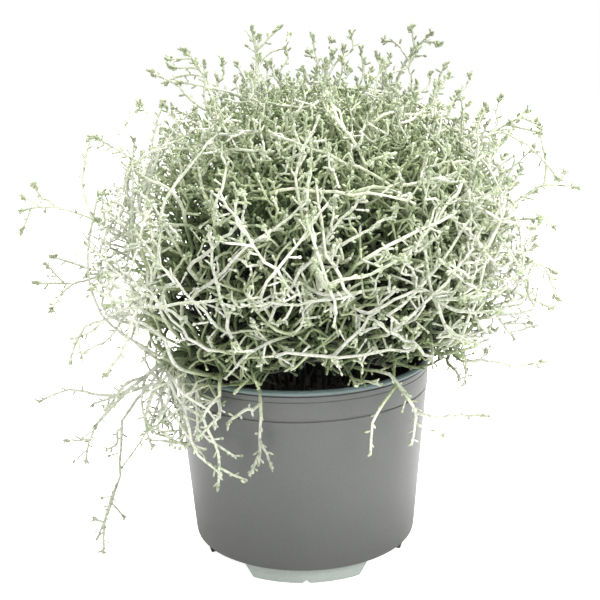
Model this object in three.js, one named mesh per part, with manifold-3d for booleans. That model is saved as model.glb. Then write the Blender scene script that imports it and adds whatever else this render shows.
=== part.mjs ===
// Potted cushion bush: a dome of pale, wiry, zigzag stems in a round plastic nursery pot.
// Millimetres, +Z up. The pot's axis passes through the origin and its feet stand on z = 0.
// The front faces -Y. Every leafy stem is one solid and stands in its own hole in the soil.

import * as THREE from 'three';
import { mergeVertices } from 'three/addons/utils/BufferGeometryUtils.js';
import Module from 'manifold-3d';

// Pot
const POT_SIDES = 36;
const FIT_GAP = 0.3;
const FOOT_INNER_R = 46;
const FOOT_OUTER_R = 52;
const FOOT_FLARE_R = 53;
const BASE_UNDER_Z = 9.4;
const BASE_TOP_Z = 11.4;
const BASE_CORNER_R = 56.4;
const WALL_FOOT_R = 57.6;
const WALL_FOOT_Z = 11.2;
const WALL_TOP_R = 64.1;
const WALL_TOP_Z = 88.3;
const GROOVE_R = 63.6;
const GROOVE_Z = 88.9;
const COLLAR_R = 64.6;
const COLLAR_FOOT_Z = 89.5;
const COLLAR_LINE_Z = 98.1;
const COLLAR_STEP = 0.4;
const LIP_UNDER_R = 64.8;
const LIP_UNDER_Z = 101.3;
const LIP_R = 65.9;
const LIP_TOP_R = 64.6;
const LIP_TOP_Z = 104.3;
const LIP_ROUND = 1;
const MOUTH_R = 62.7;
const INNER_TOP_R = 62.5;
const INNER_FOOT_R = 56.2;
const FOOT_BREAKS_DEG = [36, 144, 216, 324];
const FOOT_BREAK = 31;
const NOTCH_SIDE = 3;
const DRAIN_R = 4;
const DRAIN_SIDES = 8;
const DRAIN_AXIS_R = 38;
const CUT_MARGIN = 3;

// Soil
const SOIL_EDGE_Z = 89;
const SOIL_MOUND_R = 44;
const SOIL_TOP_Z = 92;
const HOLE_FLOOR_Z = 72;
const HOLE_SIDES = 4;
const HOLE_R = 2.45;

// Dome that the foliage fills
const DOME_CENTRE = [6, 0, 148];
const DOME_R = 116;
const DOME_HALF_HEIGHT = 102;
const DOME_SLACK = 1.1;
const X_LIMIT = 141.5;
const Y_LIMIT = 129;
const Z_LIMIT = 270;
const FLOOR_CLEAR = 2.5;
const POT_CLEAR = 1;

// Stems: thickness is given as the radius of a cross-section's corners
const SEED = 50016;
const STEM_SIDES = 4;
const TWIG_SIDES = 3;
const STEM_FOOT_R = 1.35;
const STEM_TIP_R = 0.95;
const BRANCH_R = 1.15;
const TWIG_R = 1.0;
const BUD_R = 1.8;
const BUD_LENGTH = 6;
const BUD_SHARE = 0.5;
const AXIS_BUD_SHARE = 0.2;
const ROOT_SHARE = 0.4;
const ROOT_SHIFT = 0.12;
const COLLAR_RISE = 5;
const OTHER_GAP = 0.4;
const OWN_GAP = 0.2;
const OWN_TRIM = 0.35;
const FORK_COS = 0.62;

// Axes
const STEM_NODES = 7;
const STEM_TRIES = 200;
const ZIGZAG = 4.8;
const TWIST = 0.5;
const BOW = 17;
const OVER_BOW = 6.8;
const LOOSE_FROM = 0.6;
const LOOSE_GAIN = 1.6;
const MIDDLE_SHARE = 0.34;
const MIDDLE_RISE = 0.62;
const MIDDLE_LIFT = 0.3;

// Long bare runners that bow out low and lie along the dome
const RUNNER_ROUNDS = 2;
const RUNNER_TRIES = 60;
const RUNNER_GOALS = 8;
const RUNNER_FROM = 0.84;
const RUNNER_GAIN = 0.08;
const RUNNER_LOOK = 0.9;
const RUNNER_SPREAD = 0.9;
const RUNNER_LOW = -0.35;
const RUNNER_RISE = 1.0;
const RUNNER_DROOP = 0.5;
const RUNNER_TURN = 0.35;
const RUNNER_MIDDLE = 0.55;
const RUNNER_WANDER = 9;
const RUNNER_LEAN_NODE = 4;
const SKIRT_Z = 108;
const SKIRT_FRONT = 0.26;
const SKIRT_FROM = 20;
const SKIRT_NODE = 3;
const RUNNER_NODES = [1, 2];
const RUNNER_ROOT_SPAN = 0.75;
const ROUNDING = 2;
const BULGE = 0.25;

// Branches and twigs
const FIRST_BRANCH_NODE = 3;
const FORK_CHOICES = 4;
const BRANCH_TRIES = 14;
const BRANCH_STEP = 11.5;
const BRANCH_STEPS = 3;
const BRANCH_SHORTEST = 0.8;
const BRANCH_VARY = 0.45;
const BRANCH_LOOK = 2.5;
const BRANCH_FORK = 0.42;
const BRANCH_PULL = 0.35;
const BRANCH_BEND = 0.5;
const BRANCH_LIFT = 0.22;
const TWIG_TRIES = 14;
const TWIG_LENGTH = 15;
const TWIG_SPREAD = 6;
const TWIG_CHANCE = 0.05;
const TWIG_FORK = 0.4;
const TWIG_PULL = 0.3;
const END_TWIG_SHARES = [0.75, 0.4];
const ROOT_TWIG_SHARE = 0.7;

// Places of the stems in the crown, and the tips that fill the dome
const SPOT_COUNT = 46;
const SPOT_STEP = 4.5;
const SPOT_PULL = 0.23;
const OVER_SPOT = 27;
const TURN_COS = -0.7373688780783197;
const TURN_SIN = 0.6754902942615238;
const FILL_POINTS = 41;
const FILL_HIGH = 0.97;
const FILL_LOW = -0.2;
const FILL_APART = 0.905;
const FILL_SHARE = 0.92;
const FILL_VARY = 0.1;

// Stems whose tips stand out in the outline: the tip, and the bend that a drooping stem passes
// over on its way across the rim.
const REACHING = [
  { name: 'left_trailing_stem', tip: [-109, -12, 8], over: [-73, -22, 103] },
  { name: 'top_left_stem', tip: [-20, -18, 266] },
  { name: 'top_right_stem', tip: [63, -18, 262] },
  { name: 'high_left_stem', tip: [-54, 6, 256] },
  { name: 'upper_left_stem', tip: [-99, -12, 217] },
  { name: 'upper_right_stem', tip: [110, -16, 225] },
  { name: 'left_reaching_stem', tip: [-138.5, 0, 180] },
  { name: 'right_reaching_stem', tip: [138.5, 0, 186] },
  { name: 'left_side_stem', tip: [-131, -14, 146] },
  { name: 'right_side_stem', tip: [124, -20, 148] },
  { name: 'front_reaching_stem', tip: [12, -126, 168] },
  { name: 'back_reaching_stem', tip: [-10, 126, 172] },
  { name: 'left_drooping_stem', tip: [-116, -18, 106], over: [-72, -10, 134] },
  { name: 'right_drooping_stem', tip: [104, -26, 116], over: [68, -14, 138] },
  { name: 'left_hanging_stem', tip: [-111, -20, 54], over: [-71, -37, 111] },
  { name: 'left_low_stem', tip: [-72, -54, 74], over: [-57, -52, 114] },
  { name: 'right_low_stem', tip: [79, -32, 95], over: [62, -30, 120] },
  { name: 'front_left_hanging_stem', tip: [-41, -62, 56], over: [-37, -64, 108] },
  { name: 'front_hanging_stem', tip: [-21, -69, 71], over: [-16, -62, 114] },
  { name: 'front_right_hanging_stem', tip: [51, -56, 74], over: [37, -58, 118] },
  { name: 'front_low_stem', tip: [24, -74, 110], over: [16, -52, 122] },
  { name: 'back_left_drooping_stem', tip: [-66, 88, 96], over: [-40, 56, 130] },
  { name: 'back_right_drooping_stem', tip: [58, 92, 100], over: [36, 58, 132] },
  { name: 'back_hanging_stem', tip: [4, 84, 74], over: [2, 66, 118] },
  { name: 'crown_stem', tip: [18, -10, 254] },
];

const POT_COLOUR = '#7f8580';
const SOIL_COLOUR = '#2b241e';
const FOLIAGE_COLOUR = '#c9cfb8';
const POT_ROUGHNESS = 0.5;
const SOIL_ROUGHNESS = 0.96;
const FOLIAGE_ROUGHNESS = 0.88;

const wasm = await Module();
wasm.setup();

// Vectors
const add = (a, b) => [a[0] + b[0], a[1] + b[1], a[2] + b[2]];
const subtract = (a, b) => [a[0] - b[0], a[1] - b[1], a[2] - b[2]];
const scale = (a, k) => [a[0] * k, a[1] * k, a[2] * k];
const dot = (a, b) => a[0] * b[0] + a[1] * b[1] + a[2] * b[2];
const cross = (a, b) => [
  a[1] * b[2] - a[2] * b[1],
  a[2] * b[0] - a[0] * b[2],
  a[0] * b[1] - a[1] * b[0],
];
const between = (a, b, t) => [
  a[0] + (b[0] - a[0]) * t,
  a[1] + (b[1] - a[1]) * t,
  a[2] + (b[2] - a[2]) * t,
];
const unit = (a) => {
  const length = Math.sqrt(dot(a, a));
  return [a[0] / length, a[1] / length, a[2] / length];
};

// Seeded chance
function randomSource(seed) {
  let state = seed >>> 0;
  return () => {
    state = (state + 0x6d2b79f5) >>> 0;
    let mixed = state;
    mixed = Math.imul(mixed ^ (mixed >>> 15), mixed | 1);
    mixed ^= mixed + Math.imul(mixed ^ (mixed >>> 7), mixed | 61);
    return ((mixed ^ (mixed >>> 14)) >>> 0) / 4294967296;
  };
}

// A unit vector at right angles to the given one, turned by chance
function sideways(along, random) {
  for (;;) {
    const guess = [random() * 2 - 1, random() * 2 - 1, random() * 2 - 1];
    const flat = subtract(guess, scale(along, dot(guess, along)));
    const size = dot(flat, flat);
    if (size > 0.05 && dot(guess, guess) < 1) {
      return unit(flat);
    }
  }
}

// A unit vector turned any way by chance
function randomWay(random) {
  for (;;) {
    const guess = [random() * 2 - 1, random() * 2 - 1, random() * 2 - 1];
    const size = dot(guess, guess);
    if (size > 0.05 && size < 1) {
      return unit(guess);
    }
  }
}

// Shortest distance between the segments p-q and s-t
function segmentGap(p, q, s, t) {
  const d1 = subtract(q, p);
  const d2 = subtract(t, s);
  const apart = subtract(p, s);
  const a = dot(d1, d1);
  const e = dot(d2, d2);
  const f = dot(d2, apart);
  const c = dot(d1, apart);
  const b = dot(d1, d2);
  const denominator = a * e - b * b;
  let u = 0;
  if (denominator > 1e-9) {
    u = Math.min(Math.max((b * f - c * e) / denominator, 0), 1);
  }
  let v = (b * u + f) / e;
  if (v < 0) {
    v = 0;
    u = Math.min(Math.max(-c / a, 0), 1);
  } else if (v > 1) {
    v = 1;
    u = Math.min(Math.max((b - c) / a, 0), 1);
  }
  const gap = subtract(add(p, scale(d1, u)), add(s, scale(d2, v)));
  return Math.sqrt(dot(gap, gap));
}

// Radius of the pot's outside at a height
function potOutside(z) {
  if (z > LIP_TOP_Z) {
    return 0;
  }
  if (z > WALL_TOP_Z) {
    return LIP_R;
  }
  return WALL_FOOT_R + ((WALL_TOP_R - WALL_FOOT_R) * (z - WALL_FOOT_Z)) / (WALL_TOP_Z - WALL_FOOT_Z);
}

// True where a ball of this radius is clear of the pot, the soil, the floor and the limits
function clearPoint(point, radius) {
  const [x, y, z] = point;
  if (Math.abs(x) + radius > X_LIMIT || Math.abs(y) + radius > Y_LIMIT) {
    return false;
  }
  if (z + radius > Z_LIMIT || z - radius < FLOOR_CLEAR) {
    return false;
  }
  const out = Math.sqrt(x * x + y * y);
  const low = z - radius - POT_CLEAR;
  if (low > LIP_TOP_Z) {
    return true;
  }
  if (out - radius - POT_CLEAR > potOutside(Math.min(z, WALL_TOP_Z)) + 2) {
    return true;
  }
  return out + radius + POT_CLEAR < MOUTH_R - 1 && low > SOIL_TOP_Z;
}

// True above the underside of the dome, which is higher in front, where the soil shows
function aboveSkirt(point) {
  return point[2] > SKIRT_Z + SKIRT_FRONT * Math.max(0, -point[1] - SKIRT_FROM);
}

// How far a point lies from the dome's centre, as a share of the dome's own radius there
function domeShare(point) {
  const x = (point[0] - DOME_CENTRE[0]) / DOME_R;
  const y = (point[1] - DOME_CENTRE[1]) / DOME_R;
  const z = (point[2] - DOME_CENTRE[2]) / DOME_HALF_HEIGHT;
  return Math.sqrt(x * x + y * y + z * z);
}

// The point a share of the way out from the dome's centre to its skin
function domePoint(way, share) {
  const flat = DOME_R * share;
  return add(DOME_CENTRE, [way[0] * flat, way[1] * flat, way[2] * (DOME_HALF_HEIGHT * share)]);
}

// All the capsules placed so far, kept with the number of the stem that owns each
const placed = [];

function clearSegment(p, q, radius, owner) {
  const steps = 4;
  for (let i = 0; i <= steps; i += 1) {
    if (!clearPoint(between(p, q, i / steps), radius)) {
      return false;
    }
  }
  const ownStart = between(p, q, OWN_TRIM);
  const middle = between(p, q, 0.5);
  const span = subtract(q, p);
  const half = Math.sqrt(dot(span, span)) * 0.5;
  for (const other of placed) {
    const reach = half + other.half + radius + other.radius + OTHER_GAP;
    const apart = subtract(middle, other.middle);
    if (dot(apart, apart) > reach * reach) {
      continue;
    }
    const own = other.owner === owner;
    const gap = segmentGap(own ? ownStart : p, q, other.p, other.q);
    if (gap < radius + other.radius + (own ? OWN_GAP : OTHER_GAP)) {
      return false;
    }
  }
  return true;
}

function place(p, q, radius, owner) {
  const span = subtract(q, p);
  const half = Math.sqrt(dot(span, span)) * 0.5;
  placed.push({ p, q, radius, owner, half, middle: between(p, q, 0.5) });
}

// Squared distance from a point to the middle of the nearest capsule
function roomAt(point) {
  let best = Infinity;
  for (const other of placed) {
    const apart = subtract(point, other.middle);
    best = Math.min(best, dot(apart, apart));
  }
  return best;
}

// The places in the crown where stems leave the soil, evenly spread and turned like a sunflower
function crownSpots() {
  const spots = [];
  let turn = [1, 0];
  for (let i = 0; i < SPOT_COUNT; i += 1) {
    const out = SPOT_STEP * Math.sqrt(i + 0.5);
    spots.push([turn[0] * out, turn[1] * out]);
    turn = [turn[0] * TURN_COS - turn[1] * TURN_SIN, turn[0] * TURN_SIN + turn[1] * TURN_COS];
  }
  return spots;
}

// The free spot nearest to the line from the crown to the tip
function takeSpot(spots, shoot) {
  const [x, y] = shoot.tip;
  const out = Math.sqrt(x * x + y * y);
  const wanted = shoot.over ? OVER_SPOT : out * SPOT_PULL;
  const goal = [(x / out) * wanted, (y / out) * wanted];
  let best = 0;
  let bestSize = Infinity;
  spots.forEach((spot, i) => {
    const dx = spot[0] - goal[0];
    const dy = spot[1] - goal[1];
    const size = dx * dx + dy * dy;
    if (size < bestSize) {
      bestSize = size;
      best = i;
    }
  });
  return spots.splice(best, 1)[0];
}

// Stems that fill the dome between the reaching ones
function fillingShoots(random) {
  const known = REACHING.map((shoot) => unit(subtract(shoot.tip, DOME_CENTRE)));
  const shoots = [];
  let turn = [1, 0];
  for (let i = 0; i < FILL_POINTS; i += 1) {
    const height = FILL_HIGH + ((FILL_LOW - FILL_HIGH) * i) / (FILL_POINTS - 1);
    const flat = Math.sqrt(1 - height * height);
    const along = [turn[0] * flat, turn[1] * flat, height];
    const share = FILL_SHARE + FILL_VARY * random();
    turn = [turn[0] * TURN_COS - turn[1] * TURN_SIN, turn[0] * TURN_SIN + turn[1] * TURN_COS];
    if (known.every((other) => dot(other, along) < FILL_APART)) {
      shoots.push({ name: `leafy_stem_${shoots.length + 1}`, tip: domePoint(along, share) });
    }
  }
  return shoots;
}

// The bent line of a stem's axis from the soil to its tip, or null when it finds no room
function stemLine(shoot, spot, owner, random) {
  const start = [spot[0], spot[1], SOIL_TOP_Z + COLLAR_RISE];
  const flat = [shoot.tip[0] - spot[0], shoot.tip[1] - spot[1], 0];
  const out = Math.sqrt(dot(flat, flat));
  for (let attempt = 0; attempt < STEM_TRIES; attempt += 1) {
    const looseness = LOOSE_FROM + (LOOSE_GAIN * attempt) / STEM_TRIES;
    const lean = sideways([0, 0, 1], random);
    let middle;
    if (shoot.over) {
      const ends = scale(add(start, shoot.tip), 0.5);
      middle = subtract(scale(shoot.over, 2), ends);
      middle = add(middle, scale(lean, OVER_BOW * looseness));
    } else {
      const rise = start[2] + (shoot.tip[2] - start[2]) * MIDDLE_RISE + out * MIDDLE_LIFT;
      middle = [spot[0] + flat[0] * MIDDLE_SHARE, spot[1] + flat[1] * MIDDLE_SHARE, rise];
      middle = add(middle, scale(lean, BOW * looseness));
    }
    let side = sideways(unit(subtract(shoot.tip, start)), random);
    const points = [start];
    for (let i = 1; i <= STEM_NODES; i += 1) {
      const t = i / STEM_NODES;
      const near = between(start, middle, t);
      const far = between(middle, shoot.tip, t);
      const on = between(near, far, t);
      const along = unit(subtract(far, near));
      const swing = i === STEM_NODES ? 0 : ZIGZAG * t * (i % 2 === 0 ? 1 : -1);
      side = unit(subtract(side, scale(along, dot(side, along))));
      points.push(add(on, scale(side, swing)));
      side = unit(add(side, scale(cross(along, side), TWIST)));
    }
    let free = true;
    for (let i = 0; i < STEM_NODES && free; i += 1) {
      free = clearSegment(points[i], points[i + 1], STEM_FOOT_R, owner);
    }
    if (free) {
      return points;
    }
  }
  return null;
}

// A direction that forks off at a wide angle, with a pull outward and up
function forkDirection(along, node, width, pull, random) {
  const c = FORK_COS - width * random();
  const s = Math.sqrt(1 - c * c);
  const side = sideways(along, random);
  const outward = unit(subtract(node, DOME_CENTRE));
  return unit(add(add(scale(along, c), scale(side, s)), scale(outward, pull)));
}

// The stem's own axis as a line of the solid, from the foot of its hole to its budded tip
function axisLine(axis) {
  const foot = [axis[0][0], axis[0][1], HOLE_FLOOR_Z + FIT_GAP];
  const radii = axis.map((_, i) => STEM_FOOT_R + ((STEM_TIP_R - STEM_FOOT_R) * i) / STEM_NODES);
  radii[STEM_NODES] = BUD_R;
  const along = unit(subtract(axis[STEM_NODES], axis[STEM_NODES - 1]));
  const tip = add(axis[STEM_NODES], scale(along, BUD_LENGTH * AXIS_BUD_SHARE));
  return { points: [foot, ...axis], radii: [STEM_FOOT_R, ...radii], tip };
}

// Keeps a forked line if every part of it and its bud is free, and says whether it was kept
function keepLine(stem, points, radius, budTip) {
  const end = points[points.length - 1];
  if (budTip[2] < stem.low || domeShare(budTip) > stem.share) {
    return false;
  }
  for (let k = 1; k < points.length; k += 1) {
    if (!clearSegment(points[k - 1], points[k], radius, stem.owner)) {
      return false;
    }
  }
  if (!clearSegment(end, budTip, BUD_R, stem.owner)) {
    return false;
  }
  for (let k = 1; k < points.length; k += 1) {
    place(points[k - 1], points[k], radius, stem.owner);
  }
  place(end, budTip, BUD_R, stem.owner);
  const radii = points.map(() => radius);
  radii[0] = radius * ROOT_SHARE;
  radii[points.length - 1] = BUD_R;
  stem.lines.push({ points, radii, tip: budTip });
  return true;
}

// A rounded line through all the points
function roundedLine(points, steps) {
  const last = points.length - 1;
  const beyond = subtract(scale(points[last], 2), points[last - 1]);
  const all = [subtract(scale(points[0], 2), points[1]), ...points, beyond];
  const line = [points[0]];
  for (let i = 1; i <= last; i += 1) {
    const [before, a, b, after] = all.slice(i - 1, i + 3);
    for (let k = 1; k <= steps; k += 1) {
      const t = k / steps;
      const bulge = subtract(add(a, b), add(before, after));
      line.push(add(between(a, b, t), scale(bulge, t * (1 - t) * BULGE)));
    }
  }
  return line;
}

// The point where a line that ends here would have its bud's tip
function budTipOf(points) {
  const end = points[points.length - 1];
  return add(end, scale(unit(subtract(end, points[points.length - 2])), BUD_LENGTH * BUD_SHARE));
}

// A runner that leaves the stem low down and ends along the dome, where there is most room
function growRunner(stem, random) {
  const { axis } = stem;
  const lean = subtract(axis[RUNNER_LEAN_NODE], DOME_CENTRE);
  const flat = unit([lean[0], lean[1], 0.001]);
  const rise = RUNNER_RISE * (stem.droops ? RUNNER_DROOP : 1);
  for (let attempt = 0; attempt < RUNNER_TRIES; attempt += 1) {
    let first = null;
    let most = -1;
    for (let i = 0; i < RUNNER_GOALS; i += 1) {
      const turn = randomWay(random);
      const height = RUNNER_LOW + rise * random();
      const way = unit([flat[0] + turn[0] * RUNNER_SPREAD, flat[1] + turn[1] * RUNNER_SPREAD, height]);
      const room = roomAt(domePoint(way, RUNNER_LOOK));
      if (room > most) {
        most = room;
        first = way;
      }
    }
    const side = sideways(first, random);
    const swing = RUNNER_TURN + RUNNER_TURN * random();
    const last = unit(add(first, scale([side[0], side[1], Math.abs(side[2])], swing)));
    const node = RUNNER_NODES[random() < 0.5 ? 0 : 1];
    const root = between(axis[node], axis[node + 1], ROOT_SHIFT + RUNNER_ROOT_SPAN * random());
    const goals = [0, 0.5, 1].map((t) => (
      domePoint(unit(between(first, last, t)), RUNNER_FROM + RUNNER_GAIN * t)
    ));
    const wander = scale(randomWay(random), RUNNER_WANDER);
    const middle = add(between(root, goals[0], RUNNER_MIDDLE), wander);
    const points = roundedLine([root, middle, ...goals], ROUNDING);
    const high = points.slice(SKIRT_NODE).every(aboveSkirt);
    if (high && keepLine(stem, points, TWIG_R, budTipOf(points))) {
      return;
    }
  }
}

// A side branch of three bent lengths, turned to where there is most room
function growBranch(stem, node, random) {
  const { axis } = stem;
  const before = unit(subtract(axis[node], axis[node - 1]));
  const root = between(axis[node], axis[node + 1], ROOT_SHIFT);
  for (let attempt = 0; attempt < BRANCH_TRIES; attempt += 1) {
    let along = null;
    let most = -1;
    for (let i = 0; i < FORK_CHOICES; i += 1) {
      const way = forkDirection(before, axis[node], BRANCH_FORK, BRANCH_PULL, random);
      const room = roomAt(add(root, scale(way, BRANCH_STEP * BRANCH_LOOK)));
      if (room > most) {
        most = room;
        along = way;
      }
    }
    const points = [root];
    const step = BRANCH_STEP * (BRANCH_SHORTEST + BRANCH_VARY * random());
    for (let k = 0; k < BRANCH_STEPS; k += 1) {
      points.push(add(points[k], scale(along, step)));
      const turn = scale(sideways(along, random), BRANCH_BEND);
      const outward = scale(unit(subtract(points[k + 1], DOME_CENTRE)), BRANCH_LIFT);
      along = unit(add(add(along, turn), outward));
    }
    if (keepLine(stem, points, BRANCH_R, budTipOf(points))) {
      stem.branches.push(points);
      return;
    }
  }
}

// A short budded twig that forks off the line a-b at a share of its length
function growTwig(stem, a, b, share, random) {
  const root = between(a, b, share);
  const before = unit(subtract(b, a));
  for (let attempt = 0; attempt < TWIG_TRIES; attempt += 1) {
    const along = forkDirection(before, root, TWIG_FORK, TWIG_PULL, random);
    const length = TWIG_LENGTH + TWIG_SPREAD * (random() - 0.5);
    const end = add(root, scale(along, length - BUD_LENGTH * BUD_SHARE));
    if (keepLine(stem, [root, end], TWIG_R, add(root, scale(along, length)))) {
      return;
    }
  }
}

// The whole bush: first every stem's axis, then the runners, the branches and the twigs
function growBush() {
  const random = randomSource(SEED);
  const spots = crownSpots();
  const stems = [];
  [...REACHING, ...fillingShoots(random)].forEach((shoot, owner) => {
    const spot = takeSpot(spots, shoot);
    const axis = stemLine(shoot, spot, owner, random);
    if (axis) {
      for (let i = 0; i < STEM_NODES; i += 1) {
        place(axis[i], axis[i + 1], STEM_FOOT_R, owner);
      }
      const droops = Boolean(shoot.over);
      const share = Math.max(DOME_SLACK, domeShare(shoot.tip));
      const lines = [axisLine(axis)];
      const low = droops ? shoot.tip[2] : 0;
      stems.push({ name: shoot.name, spot, owner, axis, droops, share, low, lines, branches: [] });
    }
  });
  for (let round = 0; round < RUNNER_ROUNDS; round += 1) {
    for (const stem of stems) {
      growRunner(stem, random);
    }
  }
  for (let node = STEM_NODES - 1; node >= FIRST_BRANCH_NODE; node -= 1) {
    for (const stem of stems) {
      if (!stem.droops || node > FIRST_BRANCH_NODE) {
        growBranch(stem, node, random);
      }
    }
  }
  for (const stem of stems) {
    const [before, end] = stem.axis.slice(-2);
    for (const share of END_TWIG_SHARES) {
      growTwig(stem, before, end, share, random);
    }
  }
  for (let k = BRANCH_STEPS - 1; k >= 0; k -= 1) {
    for (const stem of stems) {
      for (const branch of stem.branches) {
        if (random() < TWIG_CHANCE) {
          const share = k > 0 ? ROOT_SHIFT : ROOT_TWIG_SHARE;
          growTwig(stem, branch[k], branch[k + 1], share, random);
        }
      }
    }
  }
  return stems;
}

// Solids
function solidFrom(vertices, triangles) {
  const mesh = new wasm.Mesh({
    numProp: 3,
    vertProperties: new Float32Array(vertices.flat()),
    triVerts: new Uint32Array(triangles.flat()),
  });
  return new wasm.Manifold(mesh);
}

function solidFromGeometry(geometry) {
  const bare = geometry.clone();
  bare.deleteAttribute('normal');
  bare.deleteAttribute('uv');
  const merged = mergeVertices(bare, 1e-4);
  const position = merged.getAttribute('position');
  const index = merged.getIndex();
  const vertices = [];
  for (let i = 0; i < position.count; i += 1) {
    vertices.push([position.getX(i), position.getY(i), position.getZ(i)]);
  }
  const triangles = [];
  for (let i = 0; i < index.count; i += 3) {
    const [a, b, c] = [index.getX(i), index.getX(i + 1), index.getX(i + 2)];
    if (a !== b && b !== c && c !== a) {
      triangles.push([a, b, c]);
    }
  }
  return solidFrom(vertices, triangles);
}

function meshFrom(name, solid, material) {
  const result = solid.getMesh();
  const geometry = new THREE.BufferGeometry();
  geometry.setAttribute('position', new THREE.BufferAttribute(new Float32Array(result.vertProperties), 3));
  geometry.setIndex(new THREE.BufferAttribute(new Uint32Array(result.triVerts), 1));
  geometry.computeVertexNormals();
  const mesh = new THREE.Mesh(geometry, material);
  mesh.name = name;
  return mesh;
}

function revolve(profile) {
  const points = [...profile, profile[0]].map(([r, z]) => new THREE.Vector2(r, z));
  const geometry = new THREE.LatheGeometry(points, POT_SIDES);
  geometry.rotateX(Math.PI / 2);
  return solidFromGeometry(geometry);
}

// A closed tube along a line, pointed at its tip
function tube(line, sides) {
  const { points, radii, tip } = line;
  const all = [...points, tip];
  const vertices = [];
  const triangles = [];
  let along = unit(subtract(all[1], all[0]));
  const start = Math.abs(along[2]) < 0.9 ? [0, 0, 1] : [1, 0, 0];
  let side = unit(cross(along, start));
  points.forEach((point, i) => {
    const ahead = unit(subtract(all[i + 1], point));
    const behind = i > 0 ? unit(subtract(point, all[i - 1])) : ahead;
    along = unit(add(ahead, behind));
    side = unit(subtract(side, scale(along, dot(side, along))));
    const other = cross(along, side);
    for (let k = 0; k < sides; k += 1) {
      const angle = (2 * Math.PI * k) / sides;
      const spoke = add(scale(side, Math.cos(angle)), scale(other, Math.sin(angle)));
      vertices.push(add(point, scale(spoke, radii[i])));
    }
  });
  vertices.push(tip);
  const last = (points.length - 1) * sides;
  for (let k = 0; k < sides; k += 1) {
    const next = (k + 1) % sides;
    for (let i = 0; i < last; i += sides) {
      triangles.push([i + k, i + next, i + sides + next], [i + k, i + sides + next, i + sides + k]);
    }
    triangles.push([last + k, last + next, vertices.length - 1]);
    if (k > 0 && k < sides - 1) {
      triangles.push([0, k + 1, k]);
    }
  }
  return solidFrom(vertices, triangles);
}

// Pot: a tapered shell with a collar, a rounded lip, a raised base and four broad feet
function buildPot() {
  let pot = revolve([
    [0, BASE_UNDER_Z],
    [FOOT_INNER_R, BASE_UNDER_Z],
    [FOOT_INNER_R, 0],
    [FOOT_OUTER_R, 0],
    [FOOT_FLARE_R, BASE_UNDER_Z],
    [BASE_CORNER_R, BASE_UNDER_Z],
    [WALL_FOOT_R, WALL_FOOT_Z],
    [WALL_TOP_R, WALL_TOP_Z],
    [GROOVE_R, GROOVE_Z],
    [COLLAR_R, COLLAR_FOOT_Z],
    [COLLAR_R, COLLAR_LINE_Z],
    [COLLAR_R + COLLAR_STEP, COLLAR_LINE_Z + COLLAR_STEP],
    [COLLAR_R + COLLAR_STEP, LIP_UNDER_Z - COLLAR_STEP],
    [LIP_UNDER_R, LIP_UNDER_Z],
    [LIP_R, LIP_UNDER_Z + COLLAR_STEP],
    [LIP_R, LIP_TOP_Z - LIP_ROUND],
    [LIP_TOP_R, LIP_TOP_Z],
    [MOUTH_R + COLLAR_STEP, LIP_TOP_Z - LIP_ROUND * 0.5],
    [MOUTH_R, LIP_TOP_Z - LIP_ROUND * 2],
    [INNER_TOP_R, WALL_TOP_Z],
    [INNER_FOOT_R, BASE_TOP_Z],
    [0, BASE_TOP_Z],
  ]);
  const footDepth = FOOT_FLARE_R - FOOT_INNER_R + 2 * CUT_MARGIN;
  const footMiddle = (FOOT_INNER_R + FOOT_FLARE_R) / 2;
  for (const degrees of FOOT_BREAKS_DEG) {
    const turn = (degrees * Math.PI) / 180;
    const gap = new THREE.BoxGeometry(footDepth, FOOT_BREAK, BASE_UNDER_Z * 2);
    gap.translate(footMiddle, 0, 0);
    gap.rotateZ(turn);
    pot = pot.subtract(solidFromGeometry(gap));
    const drain = new THREE.CylinderGeometry(DRAIN_R, DRAIN_R, BASE_TOP_Z, DRAIN_SIDES);
    drain.rotateX(Math.PI / 2);
    drain.translate(DRAIN_AXIS_R, 0, BASE_TOP_Z);
    drain.rotateZ(turn);
    pot = pot.subtract(solidFromGeometry(drain));
  }
  for (const turn of [Math.PI / 2, -Math.PI / 2]) {
    const notch = new THREE.BoxGeometry(footDepth, NOTCH_SIDE, NOTCH_SIDE);
    notch.rotateX(Math.PI / 4);
    notch.translate(footMiddle, 0, 0);
    notch.rotateZ(turn);
    pot = pot.subtract(solidFromGeometry(notch));
  }
  return pot;
}

// Soil: a plug that follows the pot's inside, with a blind hole for each stem
function buildSoil(stems) {
  const slope = (INNER_TOP_R - INNER_FOOT_R) / (WALL_TOP_Z - BASE_TOP_Z);
  const floorZ = BASE_TOP_Z + FIT_GAP;
  let soil = revolve([
    [0, floorZ],
    [INNER_FOOT_R - FIT_GAP, floorZ],
    [INNER_FOOT_R + slope * (SOIL_EDGE_Z - BASE_TOP_Z) - FIT_GAP * 1.5, SOIL_EDGE_Z],
    [SOIL_MOUND_R, SOIL_TOP_Z],
    [0, SOIL_TOP_Z],
  ]);
  const height = (SOIL_TOP_Z - HOLE_FLOOR_Z) * 2;
  for (const { spot } of stems) {
    const hole = new THREE.CylinderGeometry(HOLE_R, HOLE_R, height, HOLE_SIDES);
    hole.rotateX(Math.PI / 2);
    hole.translate(spot[0], spot[1], HOLE_FLOOR_Z + height / 2);
    soil = soil.subtract(solidFromGeometry(hole));
  }
  return soil;
}

function buildStem(lines) {
  let stem = tube(lines[0], STEM_SIDES);
  for (const line of lines.slice(1)) {
    stem = stem.add(tube(line, TWIG_SIDES));
  }
  return stem;
}

const finish = (color, roughness) => (
  new THREE.MeshStandardMaterial({ color, roughness, metalness: 0 })
);
const materials = {
  pot: finish(POT_COLOUR, POT_ROUGHNESS),
  soil: finish(SOIL_COLOUR, SOIL_ROUGHNESS),
  foliage: finish(FOLIAGE_COLOUR, FOLIAGE_ROUGHNESS),
};

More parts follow.
